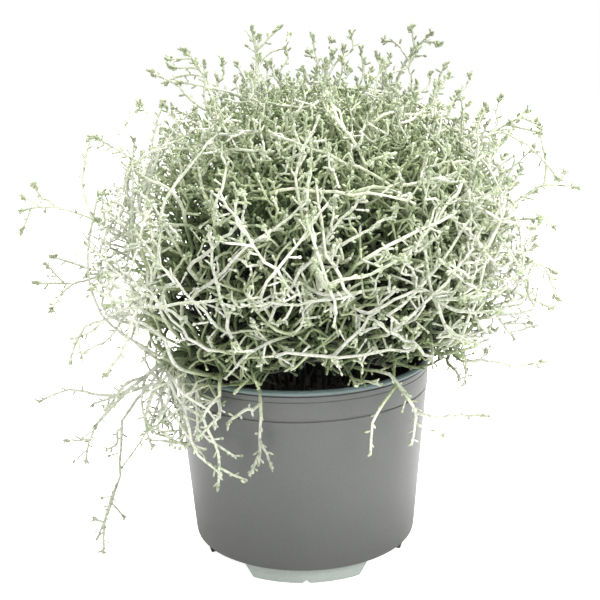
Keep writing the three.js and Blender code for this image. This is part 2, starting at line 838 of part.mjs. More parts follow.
const plant = new THREE.Group();
plant.name = 'potted_cushion_bush';
const stems = growBush();
plant.add(meshFrom('pot', buildPot(), materials.pot));
plant.add(meshFrom('soil', buildSoil(stems), materials.soil));
for (const stem of stems) {
  plant.add(meshFrom(stem.name, buildStem(stem.lines), materials.foliage));
}

export default plant;
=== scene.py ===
import math
from collections import namedtuple
from itertools import product

import bpy
import numpy as np
from mathutils import Matrix


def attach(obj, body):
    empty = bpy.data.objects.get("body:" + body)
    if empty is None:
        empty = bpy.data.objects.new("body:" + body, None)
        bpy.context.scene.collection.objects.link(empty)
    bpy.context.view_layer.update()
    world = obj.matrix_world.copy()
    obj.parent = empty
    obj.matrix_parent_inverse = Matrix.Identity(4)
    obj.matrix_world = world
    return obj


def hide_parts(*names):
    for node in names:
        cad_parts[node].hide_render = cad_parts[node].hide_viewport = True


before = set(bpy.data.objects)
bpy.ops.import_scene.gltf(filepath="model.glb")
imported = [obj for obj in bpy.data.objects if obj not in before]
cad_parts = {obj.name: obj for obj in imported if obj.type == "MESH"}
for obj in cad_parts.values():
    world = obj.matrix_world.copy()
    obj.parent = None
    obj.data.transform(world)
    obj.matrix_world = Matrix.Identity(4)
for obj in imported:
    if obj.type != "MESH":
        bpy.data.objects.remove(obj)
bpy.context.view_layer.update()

MM = 0.001

# Camera, fitted to the photo from the pot's rim, groove, wall and foot. Here and below, lengths are in
# millimetres unless a comment says otherwise.
CAMERA_DISTANCE = 558
CAMERA_HEIGHT = 272
CAMERA_SHIFT_X = -0.4
CAMERA_FOCAL_PX = 1131
CAMERA_PITCH_DEG = 14.18
CAMERA_ROLL_DEG = -1.19
IMAGE_PX = 600
SENSOR_MM = 36

# Pot
FOOT_INNER_R = 46
FOOT_OUTER_R = 52
FOOT_FLARE_R = 53
BASE_UNDER_Z = 9.4
BASE_TOP_Z = 11.4
BASE_CORNER_R = 57.1
WALL_FOOT_R = 57.6
WALL_FOOT_Z = 11.2
WALL_TOP_R = 64.1
WALL_TOP_Z = 88.3
COLLAR_R = 64.6
COLLAR_LINE_Z = 98.1
LIP_UNDER_Z = 101.3
LIP_R = 65.9
LIP_TOP_Z = 104.3
MOUTH_R = 62.7
INNER_TOP_R = 62.5
INNER_FOOT_R = 56.2
FOOT_BREAKS_DEG = (36, 144, 216, 324)
FOOT_BREAK = 31
FOOT_BREAK_FLARE = 0.7
# Painted light on the front and back feet: where it starts and where it is full, across the pot
PAINTED_FOOT_LIGHT_FROM = 22
PAINTED_FOOT_LIGHT_FULL = 30
NOTCH_SIDE = 3
DRAIN_R = 4
DRAIN_AXIS_R = 38
POT_SIDES = 192
AXIS_R = 0.01
FOOT_CUT_OVER = 6

# Soil
SOIL_EDGE_Z = 89
SOIL_MOUND_R = 44
SOIL_TOP_Z = 92
HOLE_FLOOR_Z = 72
FIT_GAP = 0.3

# The bush's own growth rule: the same seeded steps as the solids follow
DOME_CENTRE = (6.0, 0.0, 148.0)
DOME_R = 116
DOME_HALF_HEIGHT = 102
DOME_SLACK = 1.1
X_LIMIT = 141.5
Y_LIMIT = 129
Z_LIMIT = 270
FLOOR_CLEAR = 2.5
POT_CLEAR = 1
WALL_MARGIN = 2
MOUTH_MARGIN = 1
CLEAR_CHECKS = 4
SEED = 50016
STEM_FOOT_R = 1.35
BRANCH_R = 1.15
TWIG_R = 1.0
BUD_R = 1.8
BUD_LENGTH = 6
BUD_SHARE = 0.5
ROOT_SHIFT = 0.12
COLLAR_RISE = 5
OTHER_GAP = 0.4
OWN_GAP = 0.2
OWN_TRIM = 0.35
FORK_COS = 0.62
STEM_NODES = 7
STEM_TRIES = 200
ZIGZAG = 4.8
TWIST = 0.5
BOW = 17
OVER_BOW = 6.8
LOOSE_FROM = 0.6
LOOSE_GAIN = 1.6
MIDDLE_SHARE = 0.34
MIDDLE_RISE = 0.62
MIDDLE_LIFT = 0.3
RUNNER_ROUNDS = 2
RUNNER_TRIES = 60
RUNNER_GOALS = 8
RUNNER_FROM = 0.84
RUNNER_GAIN = 0.08
RUNNER_LOOK = 0.9
RUNNER_SPREAD = 0.9
RUNNER_LOW = -0.35
RUNNER_RISE = 1.0
RUNNER_DROOP = 0.5
RUNNER_TURN = 0.35
RUNNER_MIDDLE = 0.55
RUNNER_WANDER = 9
RUNNER_LEAN_NODE = 4
SKIRT_Z = 108
SKIRT_FRONT = 0.26
SKIRT_FROM = 20
SKIRT_NODE = 3
RUNNER_NODES = (1, 2)
RUNNER_LEAN_RISE = 0.001
RUNNER_ROOT_SPAN = 0.75
ROUNDING = 2
BULGE = 0.25
FIRST_BRANCH_NODE = 3
FORK_CHOICES = 4
BRANCH_TRIES = 14
BRANCH_STEP = 11.5
BRANCH_STEPS = 3
BRANCH_SHORTEST = 0.8
BRANCH_VARY = 0.45
BRANCH_LOOK = 2.5
BRANCH_FORK = 0.42
BRANCH_PULL = 0.35
BRANCH_BEND = 0.5
BRANCH_LIFT = 0.22
TWIG_TRIES = 14
TWIG_LENGTH = 15
TWIG_SPREAD = 6
TWIG_CHANCE = 0.05
TWIG_FORK = 0.4
TWIG_PULL = 0.3
END_TWIG_SHARES = (0.75, 0.4)
ROOT_TWIG_SHARE = 0.7
SPOT_COUNT = 46
SPOT_STEP = 4.5
SPOT_PULL = 0.23
OVER_SPOT = 27
TURN_COS = -0.7373688780783197
TURN_SIN = 0.6754902942615238
FILL_POINTS = 41
FILL_HIGH = 0.97
FILL_LOW = -0.2
FILL_APART = 0.905
FILL_SHARE = 0.92
FILL_VARY = 0.1
REACHING = [
    ("left_trailing_stem", (-109, -12, 8), (-73, -22, 103)),
    ("top_left_stem", (-20, -18, 266), None),
    ("top_right_stem", (63, -18, 262), None),
    ("high_left_stem", (-54, 6, 256), None),
    ("upper_left_stem", (-99, -12, 217), None),
    ("upper_right_stem", (110, -16, 225), None),
    ("left_reaching_stem", (-138.5, 0, 180), None),
    ("right_reaching_stem", (138.5, 0, 186), None),
    ("left_side_stem", (-131, -14, 146), None),
    ("right_side_stem", (124, -20, 148), None),
    ("front_reaching_stem", (12, -126, 168), None),
    ("back_reaching_stem", (-10, 126, 172), None),
    ("left_drooping_stem", (-116, -18, 106), (-72, -10, 134)),
    ("right_drooping_stem", (104, -26, 116), (68, -14, 138)),
    ("left_hanging_stem", (-111, -20, 54), (-71, -37, 111)),
    ("left_low_stem", (-72, -54, 74), (-57, -52, 114)),
    ("right_low_stem", (79, -32, 95), (62, -30, 120)),
    ("front_left_hanging_stem", (-41, -62, 56), (-37, -64, 108)),
    ("front_hanging_stem", (-21, -69, 71), (-16, -62, 114)),
    ("front_right_hanging_stem", (51, -56, 74), (37, -58, 118)),
    ("front_low_stem", (24, -74, 110), (16, -52, 122)),
    ("back_left_drooping_stem", (-66, 88, 96), (-40, 56, 130)),
    ("back_right_drooping_stem", (58, 92, 100), (36, 58, 132)),
    ("back_hanging_stem", (4, 84, 74), (2, 66, 118)),
    ("crown_stem", (18, -10, 254), None),
]


# Small vector kit
def add(a, b):
    return (a[0] + b[0], a[1] + b[1], a[2] + b[2])


def sub(a, b):
    return (a[0] - b[0], a[1] - b[1], a[2] - b[2])


def mul(a, k):
    return (a[0] * k, a[1] * k, a[2] * k)


def dot(a, b):
    return a[0] * b[0] + a[1] * b[1] + a[2] * b[2]


def cross(a, b):
    return (a[1] * b[2] - a[2] * b[1], a[2] * b[0] - a[0] * b[2], a[0] * b[1] - a[1] * b[0])


def between(a, b, t):
    return (a[0] + (b[0] - a[0]) * t, a[1] + (b[1] - a[1]) * t, a[2] + (b[2] - a[2]) * t)


def unit(a):
    length = math.sqrt(dot(a, a))
    return (a[0] / length, a[1] / length, a[2] / length)


TINY = 1e-9
LEAST_SIZE = 0.05
WORD = 0xFFFFFFFF
WORD_COUNT = 4294967296
WORD_STEP = 0x6D2B79F5


def random_source(seed):
    """A seeded source of numbers from 0 to 1, the same as in the source of the solids."""
    state = [seed & WORD]

    def draw():
        state[0] = (state[0] + WORD_STEP) & WORD
        mixed = state[0]
        mixed = ((mixed ^ (mixed >> 15)) * (mixed | 1)) & WORD
        mixed ^= (mixed + (((mixed ^ (mixed >> 7)) * (mixed | 61)) & WORD)) & WORD
        return (mixed ^ (mixed >> 14)) / WORD_COUNT

    return draw


def random_point(random):
    return (random() * 2 - 1, random() * 2 - 1, random() * 2 - 1)


def sideways(along, random):
    """A random direction at right angles to another."""
    while True:
        guess = random_point(random)
        flat = sub(guess, mul(along, dot(guess, along)))
        if dot(flat, flat) > LEAST_SIZE and dot(guess, guess) < 1:
            return unit(flat)


def random_way(random):
    while True:
        guess = random_point(random)
        if LEAST_SIZE < dot(guess, guess) < 1:
            return unit(guess)


def segment_gap(p, q, s, t):
    """The distance between the lines from p to q and from s to t."""
    d1 = sub(q, p)
    d2 = sub(t, s)
    apart = sub(p, s)
    a = dot(d1, d1)
    e = dot(d2, d2)
    f = dot(d2, apart)
    c = dot(d1, apart)
    b = dot(d1, d2)
    denominator = a * e - b * b
    u = 0
    if denominator > TINY:
        u = min(max((b * f - c * e) / denominator, 0), 1)
    v = (b * u + f) / e
    if v < 0:
        v = 0
        u = min(max(-c / a, 0), 1)
    elif v > 1:
        v = 1
        u = min(max((b - c) / a, 0), 1)
    gap = sub(add(p, mul(d1, u)), add(s, mul(d2, v)))
    return math.sqrt(dot(gap, gap))


def pot_outside(z):
    if z > LIP_TOP_Z:
        return 0
    if z > WALL_TOP_Z:
        return LIP_R
    return WALL_FOOT_R + ((WALL_TOP_R - WALL_FOOT_R) * (z - WALL_FOOT_Z)) / (WALL_TOP_Z - WALL_FOOT_Z)


def clear_point(point, radius):
    x, y, z = point
    if abs(x) + radius > X_LIMIT or abs(y) + radius > Y_LIMIT:
        return False
    if z + radius > Z_LIMIT or z - radius < FLOOR_CLEAR:
        return False
    out = math.sqrt(x * x + y * y)
    low = z - radius - POT_CLEAR
    if low > LIP_TOP_Z:
        return True
    if out - radius - POT_CLEAR > pot_outside(min(z, WALL_TOP_Z)) + WALL_MARGIN:
        return True
    return out + radius + POT_CLEAR < MOUTH_R - MOUTH_MARGIN and low > SOIL_TOP_Z


def above_skirt(point):
    return point[2] > SKIRT_Z + SKIRT_FRONT * max(0, -point[1] - SKIRT_FROM)


def dome_share(point):
    x = (point[0] - DOME_CENTRE[0]) / DOME_R
    y = (point[1] - DOME_CENTRE[1]) / DOME_R
    z = (point[2] - DOME_CENTRE[2]) / DOME_HALF_HEIGHT
    return math.sqrt(x * x + y * y + z * z)


def dome_point(way, share):
    flat = DOME_R * share
    return add(DOME_CENTRE, (way[0] * flat, way[1] * flat, way[2] * (DOME_HALF_HEIGHT * share)))


Length = namedtuple("Length", "start end radius owner half middle")
PLACED = []


def length_of(p, q, radius, owner):
    span = sub(q, p)
    return Length(p, q, radius, owner, math.sqrt(dot(span, span)) * 0.5, between(p, q, 0.5))


def clear_segment(p, q, radius, owner):
    """Whether a length keeps clear of the pot, the soil, the limits and every placed length."""
    if not all(clear_point(between(p, q, i / CLEAR_CHECKS), radius) for i in range(CLEAR_CHECKS + 1)):
        return False
    new = length_of(p, q, radius, owner)
    own_start = between(p, q, OWN_TRIM)
    for other in PLACED:
        apart = sub(new.middle, other.middle)
        reach = new.half + other.half + radius + other.radius + OTHER_GAP
        if dot(apart, apart) > reach * reach:
            continue
        own = other.owner == owner
        gap = segment_gap(own_start if own else p, q, other.start, other.end)
        if gap < radius + other.radius + (OWN_GAP if own else OTHER_GAP):
            return False
    return True


def place(p, q, radius, owner):
    PLACED.append(length_of(p, q, radius, owner))


def roomiest(tries):
    """Of pairs of a way and a point, the way whose point is furthest from all placed lengths."""
    def room(pair):
        gaps = [sub(pair[1], other.middle) for other in PLACED]
        return min(dot(gap, gap) for gap in gaps)

    return max(tries, key=room)[0]


def golden_turn(way):
    return (way[0] * TURN_COS - way[1] * TURN_SIN, way[0] * TURN_SIN + way[1] * TURN_COS)


def crown_spots():
    spots = []
    turn = (1, 0)
    for i in range(SPOT_COUNT):
        out = SPOT_STEP * math.sqrt(i + 0.5)
        spots.append((turn[0] * out, turn[1] * out))
        turn = golden_turn(turn)
    return spots


def take_spot(spots, tip, over):
    x, y = tip[0], tip[1]
    out = math.sqrt(x * x + y * y)
    wanted = OVER_SPOT if over else out * SPOT_PULL
    goal = ((x / out) * wanted, (y / out) * wanted, 0)

    def apart(spot):
        gap = sub((*spot, 0), goal)
        return dot(gap, gap)

    spot = min(spots, key=apart)
    spots.remove(spot)
    return spot


def filling_shoots(random):
    known = [unit(sub(tip, DOME_CENTRE)) for _, tip, _ in REACHING]
    shoots = []
    turn = (1, 0)
    for i in range(FILL_POINTS):
        height = FILL_HIGH + ((FILL_LOW - FILL_HIGH) * i) / (FILL_POINTS - 1)
        flat = math.sqrt(1 - height * height)
        along = (turn[0] * flat, turn[1] * flat, height)
        share = FILL_SHARE + FILL_VARY * random()
        turn = golden_turn(turn)
        if all(dot(other, along) < FILL_APART for other in known):
            shoots.append((f"leafy_stem_{len(shoots) + 1}", dome_point(along, share), None))
    return shoots


def stem_line(tip, over, spot, owner, random):
    start = (spot[0], spot[1], SOIL_TOP_Z + COLLAR_RISE)
    flat = (tip[0] - spot[0], tip[1] - spot[1], 0)
    out = math.sqrt(dot(flat, flat))
    for attempt in range(STEM_TRIES):
        looseness = LOOSE_FROM + (LOOSE_GAIN * attempt) / STEM_TRIES
        lean = sideways((0, 0, 1), random)
        if over:
            ends = mul(add(start, tip), 0.5)
            middle = sub(mul(over, 2), ends)
            middle = add(middle, mul(lean, OVER_BOW * looseness))
        else:
            rise = start[2] + (tip[2] - start[2]) * MIDDLE_RISE + out * MIDDLE_LIFT
            middle = (spot[0] + flat[0] * MIDDLE_SHARE, spot[1] + flat[1] * MIDDLE_SHARE, rise)
            middle = add(middle, mul(lean, BOW * looseness))
        side = sideways(unit(sub(tip, start)), random)
        points = [start]
        for i in range(1, STEM_NODES + 1):
            t = i / STEM_NODES
            near = between(start, middle, t)
            far = between(middle, tip, t)
            on = between(near, far, t)
            along = unit(sub(far, near))
            swing = 0 if i == STEM_NODES else ZIGZAG * t * (1 if i % 2 == 0 else -1)
            side = unit(sub(side, mul(along, dot(side, along))))
            points.append(add(on, mul(side, swing)))
            side = unit(add(side, mul(cross(along, side), TWIST)))
        if all(clear_segment(points[i], points[i + 1], STEM_FOOT_R, owner) for i in range(STEM_NODES)):
            return points
    return None


def fork_direction(along, node, width, pull, random):
    c = FORK_COS - width * random()
    s = math.sqrt(1 - c * c)
    side = sideways(along, random)
    outward = unit(sub(node, DOME_CENTRE))
    return unit(add(add(mul(along, c), mul(side, s)), mul(outward, pull)))


def keep_line(stem, points, radius, bud_tip, kind):
    """Places a shoot's lengths and its bud, if all of them have room."""
    if bud_tip[2] < stem["low"] or dome_share(bud_tip) > stem["share"]:
        return False
    lengths = [(a, b, radius, stem["owner"]) for a, b in zip(points, points[1:])]
    lengths.append((points[-1], bud_tip, BUD_R, stem["owner"]))
    if not all(clear_segment(*length) for length in lengths):
        return False
    for length in lengths:
        place(*length)
    stem["lines"].append((kind, points, bud_tip))
    return True


def rounded_line(points, steps):
    ends = [sub(mul(points[0], 2), points[1])] + points + [sub(mul(points[-1], 2), points[-2])]
    line = [points[0]]
    for i in range(1, len(points)):
        before, a, b, after = ends[i - 1:i + 3]
        for k in range(1, steps + 1):
            t = k / steps
            on = between(a, b, t)
            bulge = sub(add(a, b), add(before, after))
            line.append(add(on, mul(bulge, t * (1 - t) * BULGE)))
    return line


def bud_tip_of(points):
    return add(points[-1], mul(unit(sub(points[-1], points[-2])), BUD_LENGTH * BUD_SHARE))


def grow_runner(stem, random):
    axis = stem["axis"]
    lean = sub(axis[RUNNER_LEAN_NODE], DOME_CENTRE)
    flat = unit((lean[0], lean[1], RUNNER_LEAN_RISE))
    rise = RUNNER_RISE * (RUNNER_DROOP if stem["droops"] else 1)
    for _ in range(RUNNER_TRIES):
        tries = []
        for _ in range(RUNNER_GOALS):
            turn = random_way(random)
            height = RUNNER_LOW + rise * random()
            way = unit((flat[0] + turn[0] * RUNNER_SPREAD, flat[1] + turn[1] * RUNNER_SPREAD, height))
            tries.append((way, dome_point(way, RUNNER_LOOK)))
        first = roomiest(tries)
        side = sideways(first, random)
        swing = RUNNER_TURN + RUNNER_TURN * random()
        last = unit(add(first, mul((side[0], side[1], abs(side[2])), swing)))
        node = RUNNER_NODES[0 if random() < 0.5 else 1]
        root = between(axis[node], axis[node + 1], ROOT_SHIFT + RUNNER_ROOT_SPAN * random())
        ways = [(unit(between(first, last, t)), RUNNER_FROM + RUNNER_GAIN * t) for t in (0, 0.5, 1)]
        goals = [dome_point(way, share) for way, share in ways]
        wander = mul(random_way(random), RUNNER_WANDER)
        middle = add(between(root, goals[0], RUNNER_MIDDLE), wander)
        points = rounded_line([root, middle] + goals, ROUNDING)
        low = not all(above_skirt(point) for point in points[SKIRT_NODE:])
        if not low and keep_line(stem, points, TWIG_R, bud_tip_of(points), "runner"):
            return


def grow_branch(stem, node, random):
    axis = stem["axis"]
    before = unit(sub(axis[node], axis[node - 1]))
    root = between(axis[node], axis[node + 1], ROOT_SHIFT)
    for _ in range(BRANCH_TRIES):
        tries = []
        for _ in range(FORK_CHOICES):
            way = fork_direction(before, axis[node], BRANCH_FORK, BRANCH_PULL, random)
            tries.append((way, add(root, mul(way, BRANCH_STEP * BRANCH_LOOK))))
        along = roomiest(tries)
        points = [root]
        step = BRANCH_STEP * (BRANCH_SHORTEST + BRANCH_VARY * random())
        for k in range(BRANCH_STEPS):
            points.append(add(points[k], mul(along, step)))
            turn = mul(sideways(along, random), BRANCH_BEND)
            outward = mul(unit(sub(points[k + 1], DOME_CENTRE)), BRANCH_LIFT)
            along = unit(add(add(along, turn), outward))
        if keep_line(stem, points, BRANCH_R, bud_tip_of(points), "branch"):
            stem["branches"].append(points)
            return


def grow_twig(stem, a, b, share, random):
    root = between(a, b, share)
    before = unit(sub(b, a))
    for _ in range(TWIG_TRIES):
        along = fork_direction(before, root, TWIG_FORK, TWIG_PULL, random)
        length = TWIG_LENGTH + TWIG_SPREAD * (random() - 0.5)
        end = add(root, mul(along, length - BUD_LENGTH * BUD_SHARE))
        if keep_line(stem, [root, end], TWIG_R, add(root, mul(along, length)), "twig"):
            return


def grow_bush():
    random = random_source(SEED)
    spots = crown_spots()
    stems = []
    shoots = REACHING + filling_shoots(random)
    for owner, (name, tip, over) in enumerate(shoots):
        spot = take_spot(spots, tip, over)
        axis = stem_line(tip, over, spot, owner, random)
        if axis:
            for i in range(STEM_NODES):
                place(axis[i], axis[i + 1], STEM_FOOT_R, owner)
            stems.append({
                "name": name, "spot": spot, "owner": owner, "axis": axis, "droops": bool(over),
                "share": max(DOME_SLACK, dome_share(tip)), "low": tip[2] if over else 0,
                "lines": [], "branches": [],
            })
    for _ in range(RUNNER_ROUNDS):
        for stem in stems:
            grow_runner(stem, random)
    for node in range(STEM_NODES - 1, FIRST_BRANCH_NODE - 1, -1):
        for stem in stems:
            if not stem["droops"] or node > FIRST_BRANCH_NODE:
                grow_branch(stem, node, random)
    for stem in stems:
        before, end = stem["axis"][-2:]
        for share in END_TWIG_SHARES:
            grow_twig(stem, before, end, share, random)
    for k in range(BRANCH_STEPS - 1, -1, -1):
        for stem in stems:
            for branch in stem["branches"]:
                if random() < TWIG_CHANCE:
                    share = ROOT_SHIFT if k > 0 else ROOT_TWIG_SHARE
                    grow_twig(stem, branch[k], branch[k + 1], share, random)
    return stems


# The finer growth that only the scene has. A pair gives the lowest value and the span above it.
FINE_SEED = 77123
FINE_TRIES = 12
FINE_ROOM = 1.3
WIRE_ROOM = 1.4
TRAILER_ROOM = 2

# Where a finer shoot can root, and what makes one root better than another
HOST_STEP = 3.0
HOST_MOST = 120000
HOST_LOWEST_Z = 97
HOST_OUTERMOST = 0.97
AXIS_HOSTS_FROM = 0.1
LINE_HOSTS_FROM = 0.15
SHOOT_HOSTS_FROM = 0.25
WIRE_HOSTS_FROM = 0.3
BEST_LEAN = 0.62
LEAST_LEAN = 0.1
LEAN_COST = 12
USED_COST = 9
SHORTEST_REACH = 6
ROOT_INWARD = 0.03

# The skin of the dense growth, as a share of the dome: further out high up and low on the left
SKIN_LOW = 0.8
SKIN_GAIN = 0.16
SKIN_RISE = (-0.1, 0.8)
SKIN_LEAN = 0.09
SKIN_LEAN_BELOW = (-0.15, 0.3)

# The goals of the even fill, and where it thins out: at the skin, more on the left, not on the crown
SCATTER_TRIES = 30
SCATTER_LOWEST = -0.45
CELL_STEPS = list(product((-1, 0, 1), repeat=3))
FILL_INNER = 1250
FILL_OUTER = 2450
INNER_FROM = 0.3
OUTER_FROM = 0.72
INNER_SPACING = 7.4
OUTER_SPACING = 6.1
THINNING = 0.68
THIN_EDGE = (0.85, 0.15)
SIDE_EDGE = (0.55, 0.2)
LEFT_THINNING = 0.92
LEFT_SIDE = (0.34, 0.3)
RIGHT_FILLING = 0.08
RIGHT_SIDE = (0.4, 0.3)
CROWN_CALM = 0.75
CROWN_RISE = (0.5, 0.25)
WIRE_BELOW = 0.44
WIRE_SWAY = 0.3
SPIKES = 300
SPIKE_REACH = 1.2
SPIKE_SPACING = 8.5

# How a wire, and any other filling shoot, turns to its goal over a last straight length
Habit = namedtuple("Habit", "outward lift wander last wanted reach bend bow")
WIRE_HABIT = Habit(0.45, 0.3, 0.75, (8, 7), (20, 22), 58, 0.06, 0.32)
LEAFY_HABIT = Habit(0.75, 0.6, 0.4, (4.5, 5), (8, 0), 36, 0.13, 0.0)
SHORT_SPAN = 14

# The long bare wires
BARE_WIRES = 2
BARE_ROOT = (0.1, 0.4)
BARE_LEAN_NODE = 3
BARE_TURN = 1.4
BARE_RISE = (-0.3, 0.8)
BARE_SWING = 0.75
BARE_CLIMB = (0.1, 0.5)
BARE_EASE = (0.6, 0.4)
BARE_REACH = (0.84, 0.06)
BARE_GAIN = 0.08
BARE_WANDER = 7
BARE_MIDDLE = 0.55
BARE_MIDDLE_RISE = (-4, 8)
BARE_MIDDLE_WANDER = 9
BARE_ROUNDING = 4

# The trailers that hang beside the drooping stems on the left
TRAILERS = 2
TRAILING_X = -100
TRAILER_NODE = 2
TRAILER_LAST = 4
TRAILER_MORE = 3
TRAILER_DRIFT = (4, 5)
TRAILER_WANDER = 3.5

# The loose web beside the pot's front left. A bend is (share of the way, share of the bulge, wander).
WEB_WIRES = 7
WEB_STEM_X = -60
WEB_STEM_Y = -15
WEB_ROOT = (0.3, 0.3)
WEB_ANGLE_DEG = (206, 37)
WEB_OUT = (69, 8)
WEB_HEIGHT = (64, 38)
WEB_BULGE = (4, 8)
WEB_BULGE_RISE = 40
WEB_BENDS = ((0.35, 1.0, 7), (0.7, 0.6, 8))
WEB_ROUNDING = 3
WEB_LONGEST = 62


def pick(pair, random):
    """A seeded value between a pair's lowest value and the end of the span above it."""
    return pair[0] + pair[1] * random()


def ramp(value, start, span):
    """How far a value is along a span, from 0 at its start to 1 at its end and beyond."""
    return min(max((value - start) / span, 0), 1)


def step_lengths(points):
    return [math.dist(a, b) for a, b in zip(points, points[1:])]


class Hosts:
    """Every place along the grown lines where a finer shoot can root.

    A row holds its place, the line's way, its share of the dome, its stem, and how used it is.
    """

    def __init__(self):
        self.rows = np.zeros((HOST_MOST, 9))
        self.count = 0

    def add(self, points, stem, start):
        """Adds the places along a line from a share of its length on."""
        lengths = step_lengths(points)
        skip = start * sum(lengths)
        for i, length in enumerate(lengths):
            along = unit(sub(points[i + 1], points[i]))
            steps = max(1, int(length / HOST_STEP))
            for k in range(steps):
                if skip > length * k / steps:
                    continue
                spot = between(points[i], points[i + 1], k / steps)
                share = dome_share(spot)
                if share > HOST_OUTERMOST or spot[2] < HOST_LOWEST_Z:
                    continue
                self.rows[self.count, :8] = (*spot, *along, share, stem)
                self.count += 1
            skip -= length

    def nearest(self, goal, share, wanted, reach):
        """The place and stem of the best root for a shoot of about a wanted length, or None."""
        rows = self.rows[:self.count]
        span = np.asarray(goal) - rows[:, :3]
        size = np.sqrt((span * span).sum(axis=1)) + TINY
        lean = (span * rows[:, 3:6]).sum(axis=1) / size
        cost = np.abs(size - wanted) + LEAN_COST * np.abs(lean - BEST_LEAN) + rows[:, 8]
        unfit = (size < SHORTEST_REACH) | (size > reach) | (lean < LEAST_LEAN)
        cost[unfit | (rows[:, 6] > share)] = np.inf
        best = int(np.argmin(cost))
        if not np.isfinite(cost[best]):
            return None
        self.rows[max(0, best - 1):best + 2, 8] += USED_COST
        return tuple(rows[best, :3]), int(rows[best, 7])


def point_on(points, share):
    """The place at a share of a line's points."""
    spot = share * (len(points) - 1)
    i = min(int(spot), len(points) - 2)
    return between(points[i], points[i + 1], spot - i)


def skin_share(way):
    """How far out the dense growth goes: less far low down, where bare wires lie over it."""
    t = ramp(way[2], *SKIN_RISE)
    low = ramp(-way[2], *SKIN_LEAN_BELOW)
    return SKIN_LOW + SKIN_GAIN * t * t * (3 - 2 * t) - SKIN_LEAN * way[0] * low


def scatter(random, count, low, high, spacing, taken):
    """Evenly spaced goals in the dome, between two shares of the dense growth's reach."""
    goals = []
    for _ in range(count * SCATTER_TRIES):
        if len(goals) == count:
            break
        way = random_way(random)
        if way[2] < SCATTER_LOWEST:
            continue
        skin = skin_share(way)
        share = skin * (low ** 3 + (high ** 3 - low ** 3) * random()) ** (1 / 3)
        goal = dome_point(way, share)
        depth = share / skin
        edge = ramp(depth, *SIDE_EDGE)
        calm = 1 - CROWN_CALM * ramp(way[2], *CROWN_RISE)
        thin = THINNING * ramp(depth, *THIN_EDGE)
        thin += LEFT_THINNING * ramp(-way[0], *LEFT_SIDE) * edge * calm
        thin -= RIGHT_FILLING * ramp(way[0], *RIGHT_SIDE) * edge
        if not above_skirt(goal) or random() < thin:
            continue
        cell = tuple(int(c // spacing) for c in goal)
        around = [taken.get((cell[0] + x, cell[1] + y, cell[2] + z), ()) for x, y, z in CELL_STEPS]
        if any(math.dist(other, goal) < spacing for group in around for other in group):
            continue
        taken.setdefault(cell, []).append(goal)
        goals.append((depth, goal))
    return goals


def clear_line(points, room):
    return all(clear_point(point, room) for point in points)


def grow_to(goal, hosts, stems, kind, random):
    """One kinked or bowed shoot from the best root to a goal, where it has room."""
    habit = WIRE_HABIT if kind == "wire" else LEAFY_HABIT
    heading = add(mul(unit(sub(goal, DOME_CENTRE)), habit.outward), (0, 0, habit.lift))
    heading = unit(add(heading, mul(random_way(random), habit.wander)))
    knee = sub(goal, mul(heading, pick(habit.last, random)))
    wanted = pick(habit.wanted, random) if habit.wanted[1] else habit.wanted[0]
    best = hosts.nearest(knee, dome_share(goal) - ROOT_INWARD, wanted, habit.reach)
    if best is None:
        return
    root, stem = best
    span = math.dist(root, knee)
    points = [root]
    bends = 1 if span < SHORT_SPAN else 2
    bow = mul(random_way(random), span * habit.bow)
    for i in range(bends):
        bend = between(root, knee, (i + 1) / (bends + 1))
        points.append(add(add(bend, mul(random_way(random), span * habit.bend)), bow))
    points += [knee, goal]
    if clear_line(points, FINE_ROOM):
        stems[stem]["fine"].append((kind, points))
        hosts.add(points, stem, SHOOT_HOSTS_FROM)


def grow_bare_wire(stem, index, hosts, random):
    """A long bare wire that bows out low from a stem and then lies along the dome's skin."""
    for _ in range(FINE_TRIES):
        root = point_on(stem["axis"], pick(BARE_ROOT, random))
        far = sub(stem["axis"][BARE_LEAN_NODE if stem["droops"] else -1], DOME_CENTRE)
        turn = math.atan2(far[1], far[0]) + BARE_TURN * (random() - 0.5)
        rise = pick(BARE_RISE, random)
        swing = BARE_SWING * (random() + random() - 1)
        climb = pick(BARE_CLIMB, random)
        reach = pick(BARE_REACH, random)
        goals = []
        for step in (0.0, 0.5, 1.0):
            angle = turn + swing * step
            lift = rise + climb * step * (BARE_EASE[0] + BARE_EASE[1] * step)
            way = (math.cos(angle) * math.cos(lift), math.sin(angle) * math.cos(lift), math.sin(lift))
            goal = dome_point(way, reach + BARE_GAIN * step)
            goals.append(add(goal, mul(random_way(random), BARE_WANDER)))
        middle = add(between(root, goals[0], BARE_MIDDLE), (0, 0, pick(BARE_MIDDLE_RISE, random)))
        middle = add(middle, mul(random_way(random), BARE_MIDDLE_WANDER))
        points = rounded_line([root, middle] + goals, BARE_ROUNDING)
        outer = points[2 * BARE_ROUNDING:]
        if clear_line(points, WIRE_ROOM) and all(above_skirt(point) for point in outer):
            stem["fine"].append(("bare", points))
            hosts.add(points, index, WIRE_HOSTS_FROM)
            return


def grow_trailer(stem, random):
    """A thinner shoot that hangs beside a drooping stem."""
    axis = stem["axis"]
    drift = mul(random_way(random), pick(TRAILER_DRIFT, random))
    last = TRAILER_LAST + int(TRAILER_MORE * random())
    points = [axis[TRAILER_NODE]]
    for i in range(TRAILER_NODE + 1, last + 1):
        beside = add(axis[i], mul(drift, i - TRAILER_NODE))
        points.append(add(beside, mul(random_way(random), TRAILER_WANDER)))
    if clear_line(points[1:], TRAILER_ROOM):
        stem["fine"].append(("trailer", points))


